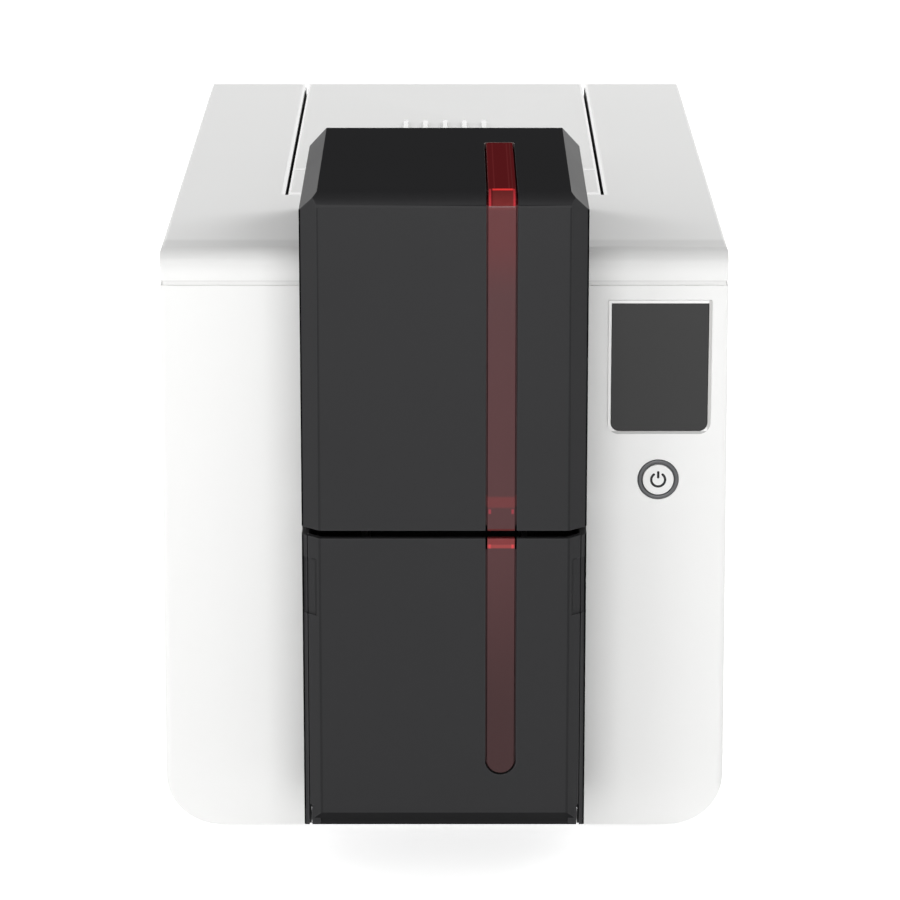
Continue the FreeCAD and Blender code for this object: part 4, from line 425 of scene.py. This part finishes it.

# Name, colour, roughness, specular level and skin, then edges lightened by wear and painted
# highlight, bands and coat
moulded("white_housing", housing_white, 0.42, 0.2, *white_skin)
moulded("white_housing_top", housing_white, 0.42, 0.2, *white_skin, bands=seam_highlight_and_shade_bands,
        gloss=opening_highlight_strips)
moulded("white_housing_lid", housing_white, 0.42, 0.2, *white_skin, bands=lid_highlight_bands,
        gloss=lid_highlight_strips)
# Painted highlight: a whiter, coated copy of the housing for rims, ribs and seam edges
moulded("highlight_rim", seam_highlight, 0.2, 0.6, 1700.0, 0.000004, 0.01, coat=1.0)
moulded("black_cover", cover_black, 0.42, 0.07, *black_skin, edge=cover_edge_wear_and_sheen)
moulded("black_cover_door", cover_black, 0.42, 0.07, *black_skin, edge=cover_edge_wear_and_sheen,
        bands=grip_shade_bands)
# Painted shade: a darker copy of the cover without gloss for the hood's top and upper front edge
moulded("black_cover_top_shaded", tint(43, 43, 44), 0.7, 0.0, *black_skin, bands=bend_shading_bands)
# Painted light: a copy of the cover for the hood's slopes, lighter on the right one
moulded("black_cover_slope_shading", tint(42, 42, 43), 0.45, 0.05, *black_skin, bands=slope_light_bands)
# Painted shade: near black on the column's flat sides and the round edges beside them
moulded("black_cover_side_shade", tint(12, 12, 13), 0.8, 0.0, *black_skin)
# Painted shade under the door's slanted lower edge
moulded("black_cover_foot_shade", tint(24, 24, 25), 0.7, 0.05, *black_skin)
# Painted shade line along the column's front corners
moulded("black_cover_shade_line", tint(36, 36, 37), 0.6, 0.1, *black_skin)
moulded("red_window", deep(0.076, 0.028, 0.030), 0.14, 0.2, *window_skin, bands=front_bands_and_glints)
# Painted light: the window's top as its own deeper red copy of the window material without gloss,
# for how light falls there
moulded("red_window_top_shading", deep(0.115, 0.011, 0.013), 0.3, 0.0, *window_skin, bands=top_bands_and_glints)
# Painted highlight on the walls of the window's slot in the hood
moulded("window_edge_highlight", tint(128, 112, 108), 0.3, 0.2, *window_skin)
# Black of the inner frames, also painted as shade into the channel under the gap round the lid
moulded("black_frame", tint(36, 36, 37), 0.55, 0.3, 1400.0, 0.00002, 0.15,
        edge=tint(62, 62, 64))
moulded("screen_glass", tint(50, 50, 50), 0.08, 0.25, 60.0, 0.0, 0.03)
moulded("grey_trim", tint(246, 246, 245), 0.4, 0.3, 1600.0, 0.00001, 0.04, bands=bezel_bands)
moulded("ring_metal", tint(74, 75, 77), 0.3, 0.5, 1600.0, 0.00001, 0.1, edge=metal_edge_wear_and_sheen,
        edge_amount=0.4)
moulded("symbol_black", tint(30, 30, 31), 0.5, 0.2, 900.0, 0.0, 0.05)
metal("zinc_steel", tint(186, 188, 190), 0.34)
metal("ground_steel", tint(200, 201, 203), 0.2, (60.0, 1.0, 1.0))
metal("bronze_bush", tint(170, 128, 84), 0.4)
metal("sink_aluminium", tint(196, 198, 201), 0.38)
moulded("roller_rubber", tint(48, 48, 50), 0.75, 0.2, 900.0, 0.00003, 0.15)
moulded("cleaning_rubber", tint(70, 128, 190), 0.5, 0.4, 700.0, 0.00001, 0.08)
moulded("belt_rubber", tint(34, 34, 35), 0.7, 0.2, 700.0, 0.00003, 0.12)
moulded("foot_rubber", tint(52, 52, 54), 0.8, 0.2, 700.0, 0.00003, 0.12)
moulded("motor_case", tint(44, 44, 46), 0.4, 0.5, 900.0, 0.00002, 0.1, edge=metal_edge_wear_and_sheen,
        edge_amount=0.4)
moulded("gear_white", tint(224, 221, 212), 0.4, 0.4, 1000.0, 0.00001, 0.04)
moulded("ribbon", tint(150, 30, 92), 0.18, 0.5, 300.0, 0.000004, 0.1, bands=film_bands)
moulded("cassette_blue", tint(60, 84, 122), 0.45, 0.4, 1400.0, 0.00002, 0.08,
        edge=tint(96, 120, 158))
moulded("head_block", tint(206, 200, 186), 0.5, 0.4, 900.0, 0.00001, 0.08)
moulded("board_green", tint(24, 84, 54), 0.35, 0.5, 900.0, 0.00001, 0.1)
moulded("chip_black", tint(38, 38, 40), 0.45, 0.4, 1600.0, 0.00001, 0.06)
moulded("socket_black", tint(30, 30, 31), 0.45, 0.4, 1200.0, 0.00001, 0.1)
moulded("fan_black", tint(34, 34, 35), 0.5, 0.35, 1200.0, 0.00001, 0.1)


# Finished copies of the solids
def link_mesh(name, mesh):
    """A mesh as an object in the scene."""
    piece = bpy.data.objects.new(name, mesh)
    bpy.context.scene.collection.objects.link(piece)
    return piece


def paint_faces(names, finish, faces):
    """Gives faces a finish, which joins the names of the copy's materials."""
    if finish not in names:
        names.append(finish)
    for face in faces:
        face.material_index = names.index(finish)


def shaped_copy(source, slot, rounds, paints):
    """A merged bmesh of a solid, rounded and painted, and the names of its materials."""
    names = []
    form = bmesh.new()
    form.from_mesh(source)
    paint_faces(names, slot, form.faces)
    bmesh.ops.remove_doubles(form, verts=form.verts, dist=MERGE_REACH * MM)
    bmesh.ops.dissolve_limit(form, angle_limit=math.radians(FLAT_ANGLE), verts=form.verts,
                             edges=form.edges)
    for size, steps, chosen, finish in rounds:
        edges = [edge for edge in form.edges if is_sharp(edge) and chosen(edge)]
        made = bmesh.ops.bevel(form, geom=edges, offset=size * MM, offset_type="OFFSET",
                               segments=steps, profile=0.5, affect="EDGES", material=-1,
                               clamp_overlap=False)
        if finish:
            paint_faces(names, finish, made["faces"])
    for finish, chosen in paints:
        paint_faces(names, finish, [face for face in form.faces if chosen(face)])
    return form, names


def fill_mesh(mesh, form, names, angle):
    """Puts a bmesh and its materials into a mesh, smooth up to an angle in degrees."""
    for face in form.faces:
        face.smooth = True
    for name in names:
        mesh.materials.append(materials[name])
    form.to_mesh(mesh)
    form.free()
    mesh.set_sharp_from_angle(angle=math.radians(angle))


def finished(node, slot, width, segments=2, rounds=(), angle=SOFT_ANGLE, paints=()):
    """A merged copy of a solid with softened edges and painted faces, which stands for the node.

    Each round is a size, its steps, a test for edges and a material for the new faces or None;
    each paint is a material and a test for faces.
    """
    mesh = nodes[node].data.copy()
    mesh.materials.clear()
    form, names = shaped_copy(mesh, slot, rounds, paints)
    fill_mesh(mesh, form, names, angle)
    piece = link_mesh(node + "_finished", mesh)
    if width:
        soften = piece.modifiers.new("soft edges", "BEVEL")
        soften.width = width * MM
        soften.segments = segments
        soften.limit_method = "ANGLE"
        soften.angle_limit = math.radians(angle)
        soften.use_clamp_overlap = True
    shade = piece.modifiers.new("even shading", "WEIGHTED_NORMAL")
    shade.keep_sharp = True
    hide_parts(node)
    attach(piece, nodes[node]["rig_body"])


# Tests for edges
def is_sharp(edge):
    """True where two faces meet at a clear angle."""
    return (len(edge.link_faces) == 2
            and edge.calc_face_angle(0.0) > math.radians(SHARP_ANGLE))


def along(edge, axis, place):
    """True if both ends of an edge lie at one place on an axis, in millimetres."""
    return all(abs(vertex.co[axis] / MM - place) < 0.05 for vertex in edge.verts)


def beside(edge, distance, reach):
    """True for an upright edge about as far from the middle as given, in millimetres."""
    low, high = [vertex.co / MM for vertex in edge.verts]
    near = all(abs(abs(end.x) - distance) < reach for end in (low, high))
    return near and abs(low.z - high.z) > 8.0 and abs(low.x - high.x) < 1.0


def top_edge(edge):
    return along(edge, 2, TOP_Z) and edge.is_convex


def runs_across(edge):
    return abs(edge.verts[0].co.y - edge.verts[1].co.y) < 0.1 * MM


def lengthwise_top_edge(edge):
    return top_edge(edge) and not runs_across(edge)


def crossing_top_edge(edge):
    """A top edge that runs from side to side."""
    return top_edge(edge) and runs_across(edge)


def opening_side_edge(edge):
    """The housing's top edges along both sides of the opening for the lid."""
    return top_edge(edge) and (along(edge, 0, OPENING_HALF) or along(edge, 0, -OPENING_HALF))


def opening_front_edge(edge):
    return top_edge(edge) and along(edge, 1, OPENING_FRONT_Y)


def column_outer_edge(edge):
    """Where the column's slanted corners meet its flat sides."""
    return beside(edge, COLUMN_HALF, 0.5) and edge.is_convex


def column_inner_edge(edge):
    """Where the column's slanted corners meet its front."""
    return along(edge, 1, FRONT_Y) and beside(edge, COLUMN_FRONT_HALF, 0.6) and edge.is_convex


def ring_edge(edge):
    """The front edges of the ring round the power button."""
    return along(edge, 1, RING_FACE_Y)


# Tests for faces
def centre_of(face):
    """The middle of a face, in millimetres."""
    return face.calc_center_median() / MM


def lid_channel_shade(face):
    """The channel in the housing under the gap round the lid, which is painted black as shade."""
    place = centre_of(face)
    beside_lid = LID_HALF - 0.5 < abs(place.x) < LID_HALF + 6.0
    behind_front = place.y > OPENING_FRONT_Y - 3.5
    return beside_lid and behind_front and TOP_Z - 14.0 < place.z < TOP_Z - 1.5


def over_the_front(face):
    """The hood's flat top and the upper part of its round front edge, but not its slopes."""
    return face.normal.z > 0.2 and abs(face.normal.x) < 0.3


def hood_slope(face):
    """The hood's slanted faces beside its flat top."""
    return 0.3 < abs(face.normal.x) < 0.95 and face.normal.z > 0.3


def column_side(face):
    """The flat sides of the column, which face the white front."""
    return abs(face.normal.x) > 0.99 and abs(centre_of(face).x) > COLUMN_HALF - 0.6


def under_the_door(face):
    """The slanted lower edge of the door."""
    place = centre_of(face)
    return face.normal.z < -0.2 and place.z < COLUMN_LOW_Z + 8.0 and place.y < FRONT_Y + 9.0


def rib_face(face):
    """The lid's ribs, which stand up from its flat top."""
    return centre_of(face).z > TOP_Z + 0.1


def window_slot_wall(face):
    """The walls of the window's slot in the hood's top."""
    place = centre_of(face)
    near_window = abs(place.x - WINDOW_X) < 6.0 and place.z > HOOD_TOP_Z - 2.5
    return near_window and abs(face.normal.z) < 0.5


def beside_board(face):
    """Chips and capacitors, which stand off the main board."""
    place = centre_of(face)
    return place.x < BOARD_X - 0.1 and place.y > 0


# The outer pieces
# The rounds on the lid and the bar are painted highlight
lid_rounds = [(0.7, 4, lengthwise_top_edge, "highlight_rim"),
              (0.15, 1, crossing_top_edge, "highlight_rim")]
# Painted shade on the round edges beside the column's flat sides
side_round = (0.8, 3, column_outer_edge, "black_cover_side_shade")
# Painted shade line on the round edges at the column's front corners
front_round = (0.5, 2, column_inner_edge, "black_cover_shade_line")
finished("lower_housing", "white_housing", MOULDED_EDGE)
# The rounds beside the opening are painted highlight, and the channel under the gap round the lid
# is painted black as shade
finished("top_housing", "white_housing_top", MOULDED_EDGE,
         rounds=[(0.7, 4, opening_side_edge, "highlight_rim"),
                 (0.15, 1, opening_front_edge, "highlight_rim")],
         paints=[("black_frame", lid_channel_shade)])
# The lid's ribs are painted highlight
finished("lid_cover", "white_housing_lid", 0.0, rounds=lid_rounds, angle=LID_SOFT_ANGLE,
         paints=[("highlight_rim", rib_face)])
finished("release_bar", "white_housing_lid", 0.0, rounds=lid_rounds)
# Painted light and shade on the hood: copies of the cover on its top and slopes, near black on
# its sides, a highlight on the window's slot walls
finished("feeder_hood", "black_cover", MOULDED_EDGE, rounds=[side_round, front_round],
         paints=[("black_cover_slope_shading", hood_slope), ("black_cover_top_shaded", over_the_front),
                 ("black_cover_side_shade", column_side), ("window_edge_highlight", window_slot_wall)])
# The window's top and upper bend take the painted top copy
finished("hood_window", "red_window", GLASS_EDGE, paints=[("red_window_top_shading", over_the_front)])
# The door's slanted lower edge is painted shade
finished("output_door", "black_cover_door", MOULDED_EDGE, rounds=[front_round],
         paints=[("black_cover_foot_shade", under_the_door)])
finished("door_window", "red_window", GLASS_EDGE)
# The column's flat sides and the round edges beside them are painted shade
finished("output_bin", "black_cover", MOULDED_EDGE, rounds=[side_round],
         paints=[("black_cover_side_shade", column_side)])
finished("screen_bezel", "grey_trim", 0.0)
finished("touch_screen", "screen_glass", GLASS_EDGE)
finished("button_ring", "ring_metal", 0.0, rounds=[(0.7, 4, ring_edge, None)])
finished("power_button", "white_housing", BUTTON_EDGE, 3)
finished("circuit_boards", "board_green", 0.0, paints=[("chip_black", beside_board)])

inner_finishes = {
    "white_housing": ["rear_flap"],
    "zinc_steel": ["base_pan", "side_plate_left", "side_plate_right", "tie_rods", "rear_panel",
                   "data_sockets"],
    "ground_steel": ["lid_hinge_pins", "hood_hinge_pins", "door_hinge_pins", "infeed_shaft",
                     "support_shaft", "platen_shaft", "rear_shaft", "pick_shaft",
                     "motor_pulley"],
    "foot_rubber": ["rubber_feet"],
    "black_frame": ["lid_frame", "feeder_frame", "card_weight", "diverter_flap"],
    "grey_trim": ["gauge_slide"],
    "head_block": ["print_head"],
    "sink_aluminium": ["heat_sink"],
    "bronze_bush": ["shaft_bushes"],
    "roller_rubber": ["infeed_roller", "support_roller", "platen_roller", "rear_roller",
                      "pick_roller", "front_pinch_roller", "rear_pinch_roller"],
    "cleaning_rubber": ["cleaning_roller"],
    "belt_rubber": ["drive_belt", "feed_belt"],
    "motor_case": ["drive_motor", "ribbon_motor"],
    "gear_white": ["takeup_gear", "ribbon_pinion"],
    "ribbon": ["takeup_spool", "supply_spool", "ribbon_film"],
    "cassette_blue": ["cassette_frame"],
    "socket_black": ["power_socket"],
    "fan_black": ["fan_frame", "fan_rotor"],
}
for slot, members in inner_finishes.items():
    for member in members:
        finished(member, slot, MOULDED_EDGE, 1)

# The printed power mark, in millimetres
INK = 0.04                    # its thickness
STROKE = 0.86
MARK_RADIUS = 2.5
BAR_LOW, BAR_HIGH = 0.9, 2.8
MARK_OPENING = math.radians(39)
QUARTER_TURN = math.pi / 2


def add_dot(form, place):
    """A thin round disc that faces the front and ends a stroke."""
    bmesh.ops.create_cone(form, cap_ends=True, segments=20, radius1=STROKE / 2 * MM,
                          radius2=STROKE / 2 * MM, depth=INK * MM,
                          matrix=place @ Matrix.Rotation(QUARTER_TURN, 4, "X"))


def power_symbol():
    """The generic power mark printed on the button: an open ring and an upright bar."""
    centre = Matrix.Translation(Vector((SCREEN_X, BUTTON_FACE_Y, BUTTON_Z)) * MM)
    up = Vector((0.0, 0.0, MM))
    to_ring = Matrix.Translation(MARK_RADIUS * up)
    form = bmesh.new()
    for angle in (MARK_OPENING, -MARK_OPENING):
        add_dot(form, centre @ Matrix.Rotation(angle, 4, "Y") @ to_ring)
    section = bmesh.ops.create_grid(
        form, x_segments=1, y_segments=1, size=0.5,
        matrix=(centre @ Matrix.Rotation(MARK_OPENING, 4, "Y") @ to_ring
                @ Matrix.Rotation(QUARTER_TURN, 4, "Y")
                @ Matrix.Diagonal((STROKE * MM, INK * MM, 1.0, 1.0))))
    face = section["verts"][0].link_faces[0]
    bmesh.ops.spin(form, geom=[*face.verts, *face.edges, face], cent=centre.translation,
                   axis=(0.0, 1.0, 0.0), steps=48, angle=2 * math.pi - 2 * MARK_OPENING,
                   use_merge=False)
    for height in (BAR_LOW, BAR_HIGH):
        add_dot(form, centre @ Matrix.Translation(height * up))
    bmesh.ops.create_cube(
        form, size=1.0,
        matrix=(centre @ Matrix.Translation((BAR_LOW + BAR_HIGH) / 2 * up)
                @ Matrix.Diagonal((STROKE * MM, INK * MM, (BAR_HIGH - BAR_LOW) * MM, 1.0))))
    bmesh.ops.recalc_face_normals(form, faces=form.faces)
    mesh = bpy.data.meshes.new("power_symbol")
    fill_mesh(mesh, form, ["symbol_black"], MARK_SOFT_ANGLE)
    piece = link_mesh("power_symbol", mesh)
    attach(piece, "power_button")


power_symbol()

# Camera
camera_data = bpy.data.cameras.new("camera")
camera_data.lens = 160.9
camera_data.sensor_width = 36.0
camera = bpy.data.objects.new("camera", camera_data)
camera.location = (2.05 * MM, -1536.6 * MM, 528.41 * MM)
camera.rotation_euler = (math.radians(74.61), 0.0, 0.0)
bpy.context.scene.collection.objects.link(camera)
bpy.context.scene.camera = camera
bpy.context.scene.view_settings.view_transform = "Standard"

# Square lamps that look at the middle of the printer: place, side in metres, power in watts
PRINTER_MIDDLE = Vector((0.0, 0.0, 0.12))
lamps = {
    "front light": ((0.0, -2.5, 0.35), 1.6, 46.0),
    "left front light": ((-1.8, -2.0, 0.4), 1.4, 14.0),
    "left light": ((-2.5, -0.4, 0.7), 1.4, 7.0),
    "back right light": ((1.8, 1.4, 1.2), 1.8, 43.0),
    "back left light": ((-1.8, 1.4, 1.2), 1.4, 23.0),
}
for name, (place, side, power) in lamps.items():
    lamp = bpy.data.lights.new(name, "AREA")
    lamp.shape = "SQUARE"
    lamp.size = side
    lamp.energy = power
    light = bpy.data.objects.new(name, lamp)
    light.location = place
    aim = PRINTER_MIDDLE - Vector(place)
    light.rotation_euler = aim.to_track_quat("-Z", "Y").to_euler()
    bpy.context.scene.collection.objects.link(light)


# Surroundings
def seen_directly(tree):
    """One for the camera's rays, straight or by gloss and glass, and nothing for the light's."""
    rays = put(tree, "ShaderNodeLightPath").outputs
    seen = maths(tree, "ADD", rays["Is Camera Ray"], rays["Is Glossy Ray"])
    return put(tree, "ShaderNodeMath", {0: seen, 1: rays["Is Transmission Ray"]},
               operation="ADD", use_clamp=True).outputs[0]


# A white studio, which gives the printer only a part of its light
ROOM_LIGHT = 0.3
world = bpy.data.worlds.new("studio")
world.use_nodes = True
bpy.context.scene.world = world
room_tree = world.node_tree
room = room_tree.nodes["Background"]
room.inputs["Color"].default_value = WHITE
room.inputs["Strength"].default_value = ROOM_LIGHT
backdrop = put(room_tree, "ShaderNodeBackground", {"Color": WHITE, "Strength": 1.0})
room_mix = put(room_tree, "ShaderNodeMixShader",
               {0: seen_directly(room_tree), 1: room.outputs[0], 2: backdrop.outputs[0]})
room_tree.links.new(room_mix.outputs[0], room_tree.nodes["World Output"].inputs["Surface"])

# A pale floor with the printer's shadow, lifted to white away from the printer
FLOOR_HALF = 6.0
LIFT_DISTANCES = (0.6, 1.6)   # from the middle, in metres
LIFT_STRENGTHS = (0.68, 1.0)
floor_form = bmesh.new()
bmesh.ops.create_grid(floor_form, x_segments=1, y_segments=1, size=FLOOR_HALF)
floor_mesh = bpy.data.meshes.new("floor")
floor_form.to_mesh(floor_mesh)
floor_form.free()
floor = link_mesh("floor", floor_mesh)
floor_material = bpy.data.materials.new("floor_white")
floor_material.use_nodes = True
floor_tree = floor_material.node_tree
floor_shader = floor_tree.nodes["Principled BSDF"]
floor_shader.inputs["Base Color"].default_value = (0.9, 0.9, 0.9, 1.0)
floor_shader.inputs["Roughness"].default_value = 0.9
floor_shader.inputs["Specular IOR Level"].default_value = 0.0
floor_place = put(floor_tree, "ShaderNodeTexCoord").outputs["Object"]
from_middle = put(floor_tree, "ShaderNodeVectorMath", {0: floor_place}, operation="LENGTH")
lift = remap(floor_tree, from_middle.outputs["Value"], LIFT_DISTANCES, LIFT_STRENGTHS,
             "SMOOTHSTEP")
floor_glow = put(floor_tree, "ShaderNodeEmission",
                 {"Strength": maths(floor_tree, "MULTIPLY", seen_directly(floor_tree), lift)})
floor_sum = put(floor_tree, "ShaderNodeAddShader",
                {0: floor_shader.outputs[0], 1: floor_glow.outputs[0]})
floor_tree.links.new(floor_sum.outputs[0],
                     floor_tree.nodes["Material Output"].inputs["Surface"])
floor_mesh.materials.append(floor_material)
